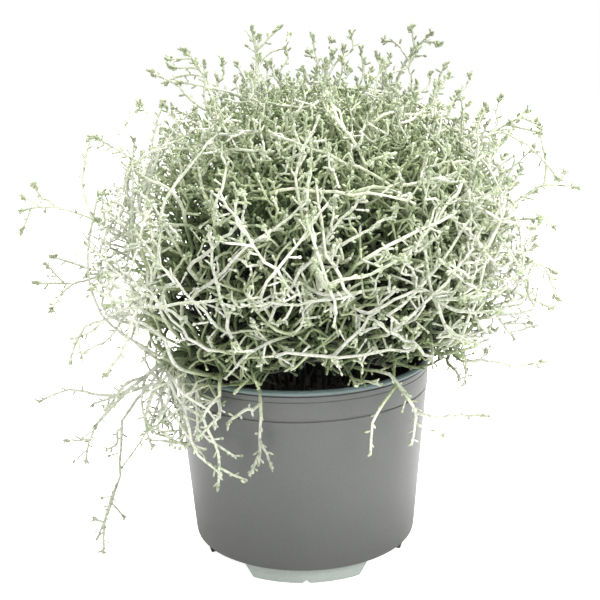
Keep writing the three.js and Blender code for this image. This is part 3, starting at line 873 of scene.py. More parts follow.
def grow_web(stem, index, hosts, random):
    """One kinked wire that leaves a hanging stem at the lip and ends beside the pot's front left."""
    for _ in range(FINE_TRIES):
        root = point_on(stem["axis"], pick(WEB_ROOT, random))
        angle = math.radians(pick(WEB_ANGLE_DEG, random))
        out = pick(WEB_OUT, random)
        goal = (out * math.cos(angle), out * math.sin(angle), pick(WEB_HEIGHT, random))
        outward = unit((root[0] + goal[0], root[1] + goal[1], WEB_BULGE_RISE))
        bulge = mul(outward, pick(WEB_BULGE, random))
        points = [root]
        for share, bulge_share, wander in WEB_BENDS:
            bend = add(between(root, goal, share), mul(bulge, bulge_share))
            points.append(add(bend, mul(random_way(random), wander)))
        points = rounded_line(points + [goal], WEB_ROUNDING)
        if math.dist(root, goal) < WEB_LONGEST and clear_line(points, WIRE_ROOM):
            stem["fine"].append(("web", points))
            hosts.add(points, index, WIRE_HOSTS_FROM)
            return


def grow_fine(stems):
    """Fills the dome with finer growth, each shoot rooted on a grown line."""
    random = random_source(FINE_SEED)
    hosts = Hosts()
    for index, stem in enumerate(stems):
        stem["fine"] = []
        hosts.add(stem["axis"], index, AXIS_HOSTS_FROM)
        for _, points, tip in stem["lines"]:
            hosts.add(list(points) + [tip], index, LINE_HOSTS_FROM)
    for _ in range(BARE_WIRES):
        for index, stem in enumerate(stems):
            grow_bare_wire(stem, index, hosts, random)
    drooping_stems = [(index, stem) for index, stem in enumerate(stems) if stem["droops"]]
    for _, stem in drooping_stems:
        end_x = stem["axis"][-1][0]
        if end_x < 0:
            for _ in range(TRAILERS if end_x > TRAILING_X else 1):
                grow_trailer(stem, random)
    for index, stem in drooping_stems:
        end = stem["axis"][-1]
        if end[0] < WEB_STEM_X and end[1] < WEB_STEM_Y:
            for _ in range(WEB_WIRES):
                grow_web(stem, index, hosts, random)
    taken = {}
    fill = scatter(random, FILL_INNER, INNER_FROM, OUTER_FROM, INNER_SPACING, taken)
    fill += scatter(random, FILL_OUTER, OUTER_FROM, 1.0, OUTER_SPACING, taken)
    for depth, goal in sorted(fill):
        height = unit(sub(goal, DOME_CENTRE))[2]
        low = height < WIRE_BELOW + WIRE_SWAY * (random() - 0.5)
        kind = "inner" if depth < OUTER_FROM else "wire" if low else "leafy"
        grow_to(goal, hosts, stems, kind, random)
    for _, goal in sorted(scatter(random, SPIKES, 1.0, SPIKE_REACH, SPIKE_SPACING, {})):
        grow_to(goal, hosts, stems, "spike", random)


# Meshes
STEEP = 0.9
KINK = (0.4, 1)

# A club is a bud or a small leaf: narrow at its root, widest near its rounded end
CLUB_SIDES = 4
CLUB_RINGS = ((0.26, 0.74), (0.74, 0.96))
CLUB_GREEN_SWAY = 0.7
CLUB_TONE_SWAY = 0.9
CLUB_ROOT_PALE = 0.25
GREEN_STRIDE = 0.618
TONE_STRIDE = 0.755

# The small parts of a shoot. A pair gives the lowest value and the span above it.
TUBE_SWAY = (0.88, 0.24)
TUBE_TIP = 0.8
TUBE_ROOT = 0.3
TOP_BUD_BACK = 1.6
TOP_BUD_LENGTH = 3.6
SIDE_BUD_LEAN = (0.4, 0.45)
SIDE_BUD_SPREAD = 4.4
SIDE_BUD_AHEAD = 0.2
SIDE_BUD_LENGTH = (2.5, 0.9)
SIDE_BUD_R = (0.66, 0.25)
STUB_LEAN = (0.5, 0.4)
STUB_LENGTH = (3.5, 6)
STUB_R = 0.52
STUB_BUD_BACK = 1.2
STUB_BUD_LENGTH = 2.4
STUB_BUD_R = 0.78
STUB_BUD_GREEN = 0.45
LEAF_TURNS = 6
LEAF_TURN = 2.5
LEAF_TURN_SWAY = 0.9
LEAF_LEAN = (0.5, 0.6)
LEAF_LENGTH = (2.7, 1.9)
LEAF_R = (0.46, 0.18)
LEAF_SPACING = (0.7, 0.6)

# Greener at the dome's rim. Painted shade: darker deep inside the dome and more so low down, less so on the
# thin left side
SHADE_SCALE = (112, 112, 102)
RIM = (0.93, 0.15)
RIM_GREEN = 0.32
PAINTED_SHADE_RISE = (-0.1, 0.8)
PAINTED_SHADE_FROM = 0.86
PAINTED_SHADE_GAIN = 0.1
PAINTED_SHADE_SPAN = 0.5
PAINTED_SHADE_LOW = 1.78
PAINTED_SHADE_FALL = 1.28
PAINTED_SHADE_LEFT_X = (40, 55)
PAINTED_SHADE_LEFT_CUT = 0.75


def link(piece):
    bpy.context.scene.collection.objects.link(piece)
    return piece


def make_mesh(name, vertices, polygons, attributes=None, smooth=True):
    """A mesh object from millimetre vertices and lists of polygons of one size each."""
    mesh = bpy.data.meshes.new(name)
    groups = [np.asarray(group, np.int32) for group in polygons]
    loops = np.concatenate([group.ravel() for group in groups])
    totals = np.concatenate([np.full(len(group), group.shape[1], np.int32) for group in groups])
    mesh.vertices.add(len(vertices))
    mesh.vertices.foreach_set("co", (np.asarray(vertices, np.float64) * MM).astype(np.float32).ravel())
    mesh.loops.add(len(loops))
    mesh.loops.foreach_set("vertex_index", loops)
    mesh.polygons.add(len(totals))
    mesh.polygons.foreach_set("loop_start", np.concatenate([[0], np.cumsum(totals)[:-1]]).astype(np.int32))
    mesh.polygons.foreach_set("use_smooth", np.full(len(totals), smooth))
    mesh.update(calc_edges=True)
    for key, values in (attributes or {}).items():
        layer = mesh.attributes.new(key, "FLOAT", "POINT")
        layer.data.foreach_set("value", np.asarray(values, np.float32))
    mesh.validate()
    return link(bpy.data.objects.new(name, mesh))


def band(low, high, sides):
    """The quads between two rings of vertices, which start at the numbers low and high."""
    return [(low + k, low + (k + 1) % sides, high + (k + 1) % sides, high + k) for k in range(sides)]


def fan(start, sides, tip, upward):
    """The triangles between a ring of vertices and one point."""
    edges = [(start + k, start + (k + 1) % sides) for k in range(sides)]
    return [(a, b, tip) if upward else (b, a, tip) for a, b in edges]


def circle(count):
    return [2 * math.pi * k / count for k in range(count)]


def line_frames(points):
    """Unit directions along a line, with two more at right angles that don't twist."""
    ahead = [unit(sub(b, a)) for a, b in zip(points, points[1:])]
    ways = [ahead[0]] + [unit(add(a, b)) for a, b in zip(ahead, ahead[1:])] + [ahead[-1]]
    side = cross(ways[0], (0, 0, 1) if abs(ways[0][2]) < STEEP else (1, 0, 0))
    frames = []
    for along in ways:
        side = unit(sub(side, mul(along, dot(side, along))))
        frames.append((along, side, cross(along, side)))
    return frames


def kinked(line, size, random):
    """The line with each inner point moved a little, as felted wire grows."""
    moved = [add(point, mul(random_way(random), size * pick(KINK, random))) for point in line[1:-1]]
    return [line[0]] + moved + [line[-1]]


def club_template():
    angles = circle(CLUB_SIDES)
    vertices = [(r * math.cos(angle), r * math.sin(angle), z) for z, r in CLUB_RINGS for angle in angles]
    tip = len(vertices)
    vertices += [(0, 0, 1.0), (0, 0, 0)]
    triangles = fan(CLUB_SIDES, CLUB_SIDES, tip, True) + fan(0, CLUB_SIDES, tip + 1, False)
    return np.array(vertices, float), np.array(band(0, CLUB_SIDES, CLUB_SIDES)), np.array(triangles)


def soft_share(values, start, span):
    return np.clip((values - start) / span, 0, 1)


class StemMesh:
    """Collects the tubes, leaves and buds of one leafy stem."""

    def __init__(self, random):
        self.random = random
        self.vertices = []
        self.quads = []
        self.triangles = []
        self.green = []
        self.tone = []
        self.clubs = []

    def tube(self, points, look, tone):
        """A tapering tube along a line, which both ends close with a blunt point."""
        frames = line_frames(points)
        last = len(points) - 1
        sides = look.sides
        spokes = [(math.cos(angle), math.sin(angle)) for angle in circle(sides)]
        base = len(self.vertices)
        for i, (point, (_, side, other)) in enumerate(zip(points, frames)):
            t = i / last
            radius = (look.start_r + (look.end_r - look.start_r) * t) * pick(TUBE_SWAY, self.random)
            for c, s in spokes:
                spoke = add(mul(side, c), mul(other, s))
                self.vertices.append(add(point, mul(spoke, radius)))
            self.green += [look.root_green + (look.end_green - look.root_green) * t] * sides
        end = base + last * sides
        for row in range(base, end, sides):
            self.quads += band(row, row + sides, sides)
        tip = end + sides
        self.vertices.append(add(points[-1], mul(frames[-1][0], look.end_r * TUBE_TIP)))
        self.vertices.append(sub(points[0], mul(frames[0][0], look.start_r * TUBE_ROOT)))
        self.green += [look.end_green, look.root_green]
        self.tone += [tone] * (tip + 2 - base)
        for pair in zip(fan(end, sides, tip, True), fan(base, sides, tip + 1, False)):
            self.triangles += pair

    def club(self, root, along, length, radius, green, tone):
        """A bud or leaf, which turns up where it would reach the ground."""
        if root[2] + along[2] * length < radius + FLOOR_CLEAR:
            along = (along[0], along[1], abs(along[2]))
        self.clubs.append((*root, *along, length, radius, green, tone))

    def cluster(self, end, along, buds, size, green, tone):
        """The spike of overlapping scale-like buds at a shoot's end."""
        random = self.random
        root = sub(end, mul(along, TOP_BUD_BACK * size))
        self.club(root, along, TOP_BUD_LENGTH * size, size, green, tone)
        for i in range(buds):
            side = sideways(along, random)
            way = unit(add(along, mul(side, pick(SIDE_BUD_LEAN, random))))
            back = (SIDE_BUD_SPREAD * (i + 0.5 * random()) / buds - SIDE_BUD_AHEAD) * size
            length = pick(SIDE_BUD_LENGTH, random) * size
            self.club(sub(end, mul(along, back)), way, length, pick(SIDE_BUD_R, random) * size, green, tone)

    def stubs(self, points, spacing, green, tone):
        """Short bare side shoots, each with a bud, at uneven places along a wire."""
        random = self.random
        for a, b in zip(points, points[1:]):
            if random() > math.dist(a, b) / spacing:
                continue
            along = unit(sub(b, a))
            way = unit(add(mul(along, pick(STUB_LEAN, random)), sideways(along, random)))
            length = pick(STUB_LENGTH, random)
            root = between(a, b, random())
            self.club(root, way, length, STUB_R, green, tone)
            root = add(root, mul(way, length - STUB_BUD_BACK))
            self.club(root, way, STUB_BUD_LENGTH, STUB_BUD_R, green + STUB_BUD_GREEN, tone)

    def leaves(self, points, start, spacing, green, tone):
        """Small club leaves set alternately along a shoot, from a share of its length on."""
        random = self.random
        reach = 0.0
        turn = int(LEAF_TURNS * random())
        lengths = step_lengths(points)
        goal = start * sum(lengths) + spacing * random()
        for i, ((along, side, other), length) in enumerate(zip(line_frames(points), lengths)):
            while reach + length > goal:
                root = between(points[i], points[i + 1], (goal - reach) / length)
                angle = turn * LEAF_TURN + LEAF_TURN_SWAY * random()
                way = add(mul(side, math.cos(angle)), mul(other, math.sin(angle)))
                way = unit(add(mul(along, pick(LEAF_LEAN, random)), way))
                size = pick(LEAF_LENGTH, random)
                self.club(root, way, size, pick(LEAF_R, random), green, tone)
                goal += spacing * pick(LEAF_SPACING, random)
                turn += 1
            reach += length

    def add_clubs(self):
        """Places one club for each kept row, all at once."""
        shape, quads, triangles = club_template()
        rows = np.array(self.clubs)
        along = rows[:, 3:6]
        helper = np.where(np.abs(along[:, 2:]) < STEEP, [[0, 0, 1.0]], [[1.0, 0, 0]])
        side = np.cross(along, helper)
        side /= np.linalg.norm(side, axis=1, keepdims=True)
        length = rows[:, None, 6:7]
        radius = rows[:, None, 7:8]
        placed = (
            rows[:, None, 0:3]
            + side[:, None, :] * (shape[None, :, 0:1] * radius)
            + np.cross(along, side)[:, None, :] * (shape[None, :, 1:2] * radius)
            + along[:, None, :] * (shape[None, :, 2:3] * length)
        )
        order = np.arange(len(rows))
        shift = len(self.vertices) + order[:, None, None] * len(shape)
        green = rows[:, 8] + CLUB_GREEN_SWAY * (order * GREEN_STRIDE % 1 - 0.5)
        green = green[:, None] - CLUB_ROOT_PALE * (1 - shape[None, :, 2])
        tone = np.clip(rows[:, 9] + CLUB_TONE_SWAY * (order * TONE_STRIDE % 1 - 0.5), 0, 1)
        self.vertices = np.concatenate([self.vertices, placed.reshape(-1, 3)])
        self.quads = np.concatenate([self.quads, (quads[None] + shift).reshape(-1, 4)])
        self.triangles = np.concatenate([self.triangles, (triangles[None] + shift).reshape(-1, 3)])
        self.green = np.concatenate([self.green, green.ravel()])
        self.tone = np.concatenate([self.tone, np.repeat(tone, len(shape))])

    def finish(self, name):
        self.add_clubs()
        scaled = (self.vertices - DOME_CENTRE) / SHADE_SCALE
        share = np.linalg.norm(scaled, axis=1)
        # Painted shade: darker deep inside the dome, more so low down, less on the left side
        t = soft_share(scaled[:, 2] / share, *PAINTED_SHADE_RISE)
        below = PAINTED_SHADE_FROM + PAINTED_SHADE_GAIN * t * t * (3 - 2 * t) - share
        painted_shade = np.clip(below / PAINTED_SHADE_SPAN * (PAINTED_SHADE_LOW - PAINTED_SHADE_FALL * t), 0, 1)
        painted_shade *= 1 - PAINTED_SHADE_LEFT_CUT * soft_share(-self.vertices[:, 0], *PAINTED_SHADE_LEFT_X)
        green = self.green + RIM_GREEN * soft_share(share, *RIM)
        shades = {"green": green, "tone": self.tone, "painted_shade": painted_shade}
        return make_mesh(name, self.vertices, [self.quads, self.triangles], shades)


# How each kind of shoot looks. Stubs are (points skipped, spacing, green), leaves are (share of the
# length where they start, spacing, green) and buds are (count, size, green). Wood gives the lowest
# tone, and the span above it, of a fine shoot's wood.
Look = namedtuple("Look", "steps kink start_r end_r sides root_green end_green stubs leaves buds wood")
LOOKS = {
    "axis": Look(4, 0.35, 1.2, 0.62, 8, -0.1, 0.4, (14, 22, 0.3), (0.8, 4.2, 0.7), (5, 1.0, 0.95), None),
    "branch": Look(3, 0.35, 0.86, 0.55, 6, 0.0, 0.45, None, (0.3, 4.2, 0.7), (5, 1.0, 0.95), None),
    "twig": Look(3, 0.35, 0.66, 0.48, 5, 0.1, 0.55, None, (0.3, 3.8, 0.75), (5, 1.0, 0.95), None),
    "runner": Look(2, 1.0, 0.98, 0.55, 6, -0.1, 0.3, (4, 9, 0.1), (0.8, 4.5, 0.6), (2, 0.9, 0.8), None),
    "bare": Look(1, 0.9, 0.92, 0.55, 6, -0.1, 0.3, (5, 11, 0.1), (0.8, 5, 0.6), (2, 0.85, 0.8), (0.2, 0.6)),
    "web": Look(1, 0.6, 0.85, 0.55, 6, -0.1, 0.25, (2, 9, 0.2), (0.55, 6, 0.45), (2, 0.75, 0.5), (0.3, 0.6)),
    "trailer": Look(3, 0, 0.7, 0.5, 5, -0.1, 0.3, None, (0.35, 6, 0.45), (2, 0.75, 0.55), (0, 1)),
    "wire": Look(
        3, 0.3, 0.8, 0.52, 4, -0.1, 0.3, (0, 17, 0.15), (0.6, 10, 0.55), (0, 0.72, 0.6), (0.05, 0.7)
    ),
    "inner": Look(2, 0, 0.8, 0.56, 3, 0.3, 0.7, None, None, None, (0, 1)),
    "leafy": Look(2, 0, 0.6, 0.46, 4, -0.2, 0.3, None, (0.2, 3.4, 0.65), (3, 0.85, 0.9), (0.4, 0.6)),
    "spike": Look(2, 0, 0.6, 0.42, 5, -0.1, 0.4, None, (0.15, 3.3, 0.7), (5, 0.95, 0.95), (0.4, 0.6)),
}
DROOPING_GREEN = 0.3
DROOPING_LEAF_GREEN = 0.5
DROOPING_BUDS = (3, 0.8, 0.6)


def drooping(look):
    """The same shoot on a drooping stem, with paler wood and fewer, smaller buds."""
    leaves = look.leaves[:2] + (DROOPING_LEAF_GREEN,)
    return look._replace(end_green=DROOPING_GREEN, leaves=leaves, buds=DROOPING_BUDS)


def dress_shoot(build, points, look, wood_tone, leaf_tone):
    line = rounded_line(points, look.steps)
    if look.kink:
        line = kinked(line, look.kink, build.random)
    build.tube(line, look, wood_tone)
    if look.stubs:
        skipped, spacing, green = look.stubs
        build.stubs(line[skipped:], spacing, green, wood_tone)
    if look.leaves:
        build.leaves(line, *look.leaves, leaf_tone)
    if look.buds:
        build.cluster(line[-1], unit(sub(line[-1], line[-2])), *look.buds, leaf_tone)


def dress_stem(stem, random):
    build = StemMesh(random)
    tone = random()
    foot = (*stem["spot"], HOLE_FLOOR_Z + FIT_GAP)
    coarse = [("axis", [foot] + stem["axis"])]
    coarse += [(kind, list(points) + [tip]) for kind, points, tip in stem["lines"]]
    for kind, points in coarse:
        look = LOOKS[kind]
        if stem["droops"] and kind != "runner":
            look = drooping(look)
        dress_shoot(build, points, look, tone, tone)
    for kind, points in stem["fine"]:
        look = LOOKS[kind]
        shade = random()
        dress_shoot(build, points, look, look.wood[0] + look.wood[1] * shade, shade)
    return build.finish(stem["name"] + "_fine")


# Pot and soil
SHARP_DEG = 32
CUT_OVER = 2
NOISE_CELLS = 64
SOIL_SEED = 5
SOIL_SIDES = 120
SOIL_RINGS = 44
SOIL_SINK = 0.4
SOIL_ROUGH = 0.9
SOIL_EDGE_SINK = 0.6
SOIL_WAVES = ((0.7, 0.16, 9, 5), (0.5, 0.5, 0, 31), (0.3, 1.3, 17, 0))
CRUMB_SEED = 12
CRUMBS = 900
CRUMB_INSET = 3.2
CRUMB_SIZE = (0.45, 1.2)
CRUMB_SKEW = 2.2
CRUMB_STRETCH = (0.8, 0.9)
CRUMB_HEIGHT = (0.5, 0.4)
CRUMB_ROUGH = (0.78, 0.44)
CRUMB_SINK = 0.2
CRUMB_LIFT = 0.4
ROUNDING_STEPS = 4
ROUNDING_MOST = 0.45
POST_SIDES = 24


def ring(radius, z, angles, centre=(0, 0)):
    return [(centre[0] + radius * math.cos(a), centre[1] + radius * math.sin(a), z) for a in angles]


def revolve(name, profile, sides):
    """A closed ring-shaped mesh from a profile of (radius, height) pairs in millimetres."""
    rows = len(profile)
    vertices = [(r * math.cos(a), r * math.sin(a), z) for a in circle(sides) for r, z in profile]
    quads = []
    for k in range(sides):
        n = (k + 1) % sides
        for i in range(rows):
            j = (i + 1) % rows
            quads.append((k * rows + i, n * rows + i, n * rows + j, k * rows + j))
    return make_mesh(name, vertices, [quads])


def rounded(profile):
    """A closed profile of (radius, height) from rows that each add how far a corner is rounded."""
    out = []
    for i, (r, z, size) in enumerate(profile):
        if not size:
            out.append((r, z))
            continue
        before = profile[i - 1]
        after = profile[(i + 1) % len(profile)]
        a = math.dist((r, z), before[:2])
        b = math.dist((r, z), after[:2])
        size = min(size, a * ROUNDING_MOST, b * ROUNDING_MOST)
        p = (r + (before[0] - r) * size / a, z + (before[1] - z) * size / a)
        q = (r + (after[0] - r) * size / b, z + (after[1] - z) * size / b)
        for k in range(ROUNDING_STEPS + 1):
            t = k / ROUNDING_STEPS
            out.append((
                (1 - t) ** 2 * p[0] + 2 * t * (1 - t) * r + t * t * q[0],
                (1 - t) ** 2 * p[1] + 2 * t * (1 - t) * z + t * t * q[1],
            ))
    return out


def cut(piece, cutter):
    change = piece.modifiers.new("cut", "BOOLEAN")
    change.operation = "DIFFERENCE"
    change.solver = "EXACT"
    change.object = cutter
    bpy.context.view_layer.update()
    depsgraph = bpy.context.evaluated_depsgraph_get()
    result = bpy.data.meshes.new_from_object(piece.evaluated_get(depsgraph))
    piece.modifiers.clear()
    used = [piece.data, cutter.data]
    piece.data = result
    bpy.data.objects.remove(cutter)
    for mesh in used:
        bpy.data.meshes.remove(mesh)


def block(name, size, centre, tilt, turn, flare=0):
    """A box in millimetres, tilted about its long axis X and turned about the pot's axis.

    A flare widens its lower half on the side that the flare's sign names.
    """
    corners = []
    for sx, sy, sz in product((-0.5, 0.5), repeat=3):
        wide = 1 + abs(flare) if sz < 0 and sy * flare > 0 else 1
        corners.append((sx * size[0], sy * size[1] * wide, sz * size[2]))
    faces = [(0, 1, 3, 2), (4, 6, 7, 5), (0, 4, 5, 1), (2, 3, 7, 6), (0, 2, 6, 4), (1, 5, 7, 3)]
    move = Matrix.Rotation(turn, 4, "Z") @ Matrix.Translation(centre) @ Matrix.Rotation(tilt, 4, "X")
    placed = [tuple(move @ Matrix.Translation(c).to_translation()) for c in corners]
    return make_mesh(name, placed, [faces], smooth=False)


def post(name, radius, low, high, centre_r, turn):
    """An upright cylinder in millimetres at a radius from the pot's axis."""
    centre = (centre_r * math.cos(turn), centre_r * math.sin(turn))
    angles = circle(POST_SIDES)
    vertices = ring(radius, low, angles, centre) + ring(radius, high, angles, centre)
    vertices += [(*centre, low), (*centre, high)]
    triangles = fan(0, POST_SIDES, 2 * POST_SIDES, False)
    triangles += fan(POST_SIDES, POST_SIDES, 2 * POST_SIDES + 1, True)
    return make_mesh(name, vertices, [band(0, POST_SIDES, POST_SIDES), triangles], smooth=False)


def build_pot():
    """The pot with its mouldings: small steps set off from the sizes that the solid has too."""
    # Radius, height, and how far the corner there is rounded
    profile = [
        (AXIS_R, BASE_UNDER_Z, 0),
        (FOOT_INNER_R, BASE_UNDER_Z, 0),
        (FOOT_INNER_R, 0, 0.5),
        (FOOT_OUTER_R, 0, 0.9),
        (FOOT_FLARE_R, BASE_UNDER_Z, 0),
        (BASE_CORNER_R, BASE_UNDER_Z, 0.7),
        (WALL_FOOT_R, WALL_FOOT_Z, 0.8),
        (WALL_TOP_R, WALL_TOP_Z, 0.2),
        (WALL_TOP_R - 0.5, WALL_TOP_Z + 0.2, 0),
        (WALL_TOP_R - 0.5, WALL_TOP_Z + 0.9, 0),
        (COLLAR_R, WALL_TOP_Z + 1.2, 0.2),
        (COLLAR_R, COLLAR_LINE_Z, 0.2),
        (COLLAR_R - 0.3, COLLAR_LINE_Z + 0.15, 0),
        (COLLAR_R - 0.3, COLLAR_LINE_Z + 0.45, 0),
        (COLLAR_R + 0.15, COLLAR_LINE_Z + 0.6, 0.2),
        (COLLAR_R + 0.2, LIP_UNDER_Z - 0.4, 0.2),
        (COLLAR_R - 0.4, LIP_UNDER_Z - 0.3, 0),
        (COLLAR_R - 0.4, LIP_UNDER_Z + 0.5, 0),
        (LIP_R, LIP_UNDER_Z + 0.7, 0.4),
        (LIP_R, LIP_TOP_Z - 1.1, 1.0),
        (LIP_R - 1.3, LIP_TOP_Z, 1.1),
        (MOUTH_R + 0.4, LIP_TOP_Z - 0.4, 0.9),
        (MOUTH_R, LIP_TOP_Z - 2, 0.9),
        (INNER_TOP_R, WALL_TOP_Z, 0),
        (INNER_FOOT_R, BASE_TOP_Z, 1.5),
        (AXIS_R, BASE_TOP_Z, 0),
    ]
    pot = revolve("pot_fine", rounded(profile), POT_SIDES)
    depth = FOOT_FLARE_R - FOOT_INNER_R + FOOT_CUT_OVER
    middle = (FOOT_INNER_R + FOOT_FLARE_R) / 2
    for degrees in FOOT_BREAKS_DEG:
        turn = math.radians(degrees)
        flare = math.copysign(FOOT_BREAK_FLARE, math.sin(2 * turn))
        cut(pot, block("gap", (depth, FOOT_BREAK, BASE_UNDER_Z * 2), (middle, 0, 0), 0, turn, flare))
        cut(pot, post("drain", DRAIN_R, BASE_UNDER_Z - CUT_OVER, BASE_TOP_Z + CUT_OVER, DRAIN_AXIS_R, turn))
    for turn in (math.pi / 2, -math.pi / 2):
        cut(pot, block("notch", (depth, NOTCH_SIDE, NOTCH_SIDE), (middle, 0, 0), math.pi / 4, turn))
    for polygon in pot.data.polygons:
        polygon.use_smooth = True
    pot.data.set_sharp_from_angle(angle=math.radians(SHARP_DEG))
    return pot


def value_noise(seed):
    """A smooth seeded noise over the plane, from -1 to 1, for the soil's surface."""
    table = np.random.default_rng(seed).uniform(-1, 1, (NOISE_CELLS, NOISE_CELLS))

    def cell(i, j):
        return table[i % NOISE_CELLS, j % NOISE_CELLS]

    def at(x, y):
        i, j = math.floor(x), math.floor(y)
        u, v = x - i, y - j
        u, v = u * u * (3 - 2 * u), v * v * (3 - 2 * v)
        near = cell(i, j) * (1 - u) + cell(i + 1, j) * u
        far = cell(i, j + 1) * (1 - u) + cell(i + 1, j + 1) * u
        return near * (1 - v) + far * v

    return at


def soil_height(r):
    if r < SOIL_MOUND_R:
        return SOIL_TOP_Z
    return SOIL_TOP_Z - (SOIL_TOP_Z - SOIL_EDGE_Z) * (r - SOIL_MOUND_R) / (INNER_TOP_R - SOIL_MOUND_R)


def build_soil():
    """The peat plug with an uneven top, which sinks a little at its rim."""
    noise = value_noise(SOIL_SEED)
    slope = (INNER_TOP_R - INNER_FOOT_R) / (WALL_TOP_Z - BASE_TOP_Z)
    floor_z = BASE_TOP_Z + FIT_GAP
    edge_r = INNER_FOOT_R + slope * (SOIL_EDGE_Z - BASE_TOP_Z) - FIT_GAP
    sides = SOIL_SIDES
    angles = circle(sides)
    vertices = [(0, 0, SOIL_TOP_Z)]
    for i in range(1, SOIL_RINGS + 1):
        r = edge_r * i / SOIL_RINGS
        for x, y, z in ring(r, soil_height(r) - SOIL_SINK, angles):
            bump = sum(size * noise(x * scale + dx, y * scale + dy) for size, scale, dx, dy in SOIL_WAVES)
            vertices.append((x, y, z + (bump * SOIL_ROUGH if i < SOIL_RINGS else -SOIL_EDGE_SINK)))
    foot = len(vertices)
    vertices += ring(INNER_FOOT_R - FIT_GAP, floor_z, angles)
    vertices.append((0, 0, floor_z))
    triangles = []
    quads = []
    for k in range(sides):
        n = (k + 1) % sides
        triangles.append((0, 1 + k, 1 + n))
        triangles.append((foot + n, foot + k, len(vertices) - 1))
        for a in range(1, foot, sides):
            quads.append((a + k, a + sides + k, a + sides + n, a + n))
    return make_mesh("soil_fine", vertices, [quads, triangles])


def build_crumbs():
    """Loose crumbs of peat and bark that lie on the soil: uneven stones of 20 faces."""
    rng = np.random.default_rng(CRUMB_SEED)
    golden = (1 + math.sqrt(5)) / 2
    ends = [(a, b) for b in (golden, -golden) for a in (-1, 1)]
    shape = [(a, b, 0) for a, b in ends] + [(0, a, b) for a, b in ends] + [(b, 0, a) for a, b in ends]
    shape = np.array(shape) / math.hypot(1, golden)
    faces = np.array([(0, 11, 5), (0, 5, 1), (0, 1, 7), (0, 7, 10), (0, 10, 11), (1, 5, 9), (5, 11, 4),
                      (11, 10, 2), (10, 7, 6), (7, 1, 8), (3, 9, 4), (3, 4, 2), (3, 2, 6), (3, 6, 8),
                      (3, 8, 9), (4, 9, 5), (2, 4, 11), (6, 2, 10), (8, 6, 7), (9, 8, 1)])
    corners = len(shape)
    vertices = []
    triangles = []
    tone = []
    for i in range(CRUMBS):
        r = (MOUTH_R - CRUMB_INSET) * math.sqrt(rng.random())
        angle = rng.random() * 2 * math.pi
        size = CRUMB_SIZE[0] + CRUMB_SIZE[1] * rng.random() ** CRUMB_SKEW
        stretch = (size * pick(CRUMB_STRETCH, rng.random), size, size * pick(CRUMB_HEIGHT, rng.random))
        rough = shape * (CRUMB_ROUGH[0] + CRUMB_ROUGH[1] * rng.random((corners, 1))) * stretch
        turn = rng.random() * math.pi
        c, s = math.cos(turn), math.sin(turn)
        height = soil_height(r) - CRUMB_SINK + CRUMB_LIFT * rng.random()
        centre = (r * math.cos(angle), r * math.sin(angle), height)
        vertices.append(rough @ np.array([[c, s, 0], [-s, c, 0], [0, 0, 1]]) + centre)
        triangles.append(faces + i * corners)
        tone += [rng.random()] * corners
    return make_mesh("soil_crumbs", np.concatenate(vertices), [np.concatenate(triangles)], {"tone": tone})


# Materials: noise grains are (scale per metre, detail), colour stops are (position, colour), and pairs
# that a value is mapped to are (lowest, highest)
NOISE_ROUGHNESS = 0.55
FELT_GRAIN = (700, 3)
PATCH_GRAIN = (55, 2)
SPECK_GRAIN = (900, 2)
CLOUD_GRAIN = (22, 3)
PEAT_GRAIN = (420, 4)
CLOD_GRAIN = (90, 3)
SWEEP_GRAIN = (3, 2)
LEAF_COLOURS = [
    (0.0, (0.74, 0.72, 0.685)),
    (0.3, (0.745, 0.737, 0.655)),
    (0.7, (0.545, 0.575, 0.45)),
    (1.0, (0.40, 0.435, 0.30)),
]
PATCH_COLOURS = [(0.35, (0.80, 0.85, 0.76)), (0.7, (1.0, 1.0, 1.0))]
FELT_COLOURS = [(0.36, (0.60, 0.66, 0.55)), (0.6, (1.05, 1.05, 1.04))]
# Painted shade: how dark the foliage is painted deep inside the dome
PAINTED_SHADE_COLOURS = [
    (0.0, (1.0, 1.0, 1.0)),
    (0.12, (0.74, 0.80, 0.59)),
    (0.34, (0.235, 0.305, 0.14)),
    (0.7, (0.055, 0.075, 0.03)),
    (1.0, (0.02, 0.028, 0.015)),
]
LEAF_TONES = (0.68, 1.14)
PATCH_SHARE = 0.8
FELT_SHARE = 0.8
FELT_ROUGHNESS = (0.72, 0.95)
POT_COLOURS = [(0.3, (0.079, 0.0815, 0.077)), (0.7, (0.090, 0.0925, 0.088))]
SPECK_COLOURS = [(0.3, (0.84, 0.86, 0.86)), (0.5, (1, 1, 1)), (0.72, (1.14, 1.12, 1.12))]
# Painted highlight: the top of the lip made lighter and teal
LIP_HIGHLIGHT_COLOURS = [(0.972, (1, 1, 1)), (0.984, (1.5, 2.05, 2.12))]
# Painted light: the bottom of the foot made much lighter and a little bluish
PAINTED_FOOT_LIGHT_COLOURS = [(0.08, (4.3, 4.65, 4.5)), (0.09, (1, 1, 1))]
SPECK_SHARE = 0.5
POT_ROUGHNESS = (0.34, 0.5)
PEAT_COLOURS = [(0.3, (0.010, 0.008, 0.006)), (0.7, (0.035, 0.026, 0.018))]
PEAT_TONES = (0.8, 1.9)
PEAT_ROUGHNESS = (0.8, 1.0)
SWEEP_COLOURS = [(0.3, (0.93, 0.93, 0.93)), (0.7, (0.95, 0.95, 0.95))]
SWEEP_GLOW = 0.85


def new_material(name):
    material = bpy.data.materials.new(name)
    material.use_nodes = True
    tree = material.node_tree
    tree.nodes.clear()
    output = tree.nodes.new("ShaderNodeOutputMaterial")
    shader = tree.nodes.new("ShaderNodeBsdfPrincipled")
    tree.links.new(shader.outputs["BSDF"], output.inputs["Surface"])
    return material, tree, shader


def set_inputs(node, **values):
    """Sets sockets by name, with _ for each space."""
    for name, value in values.items():
        node.inputs[name.replace("_", " ")].default_value = value


def object_place(tree):
    return tree.nodes.new("ShaderNodeTexCoord").outputs["Object"]


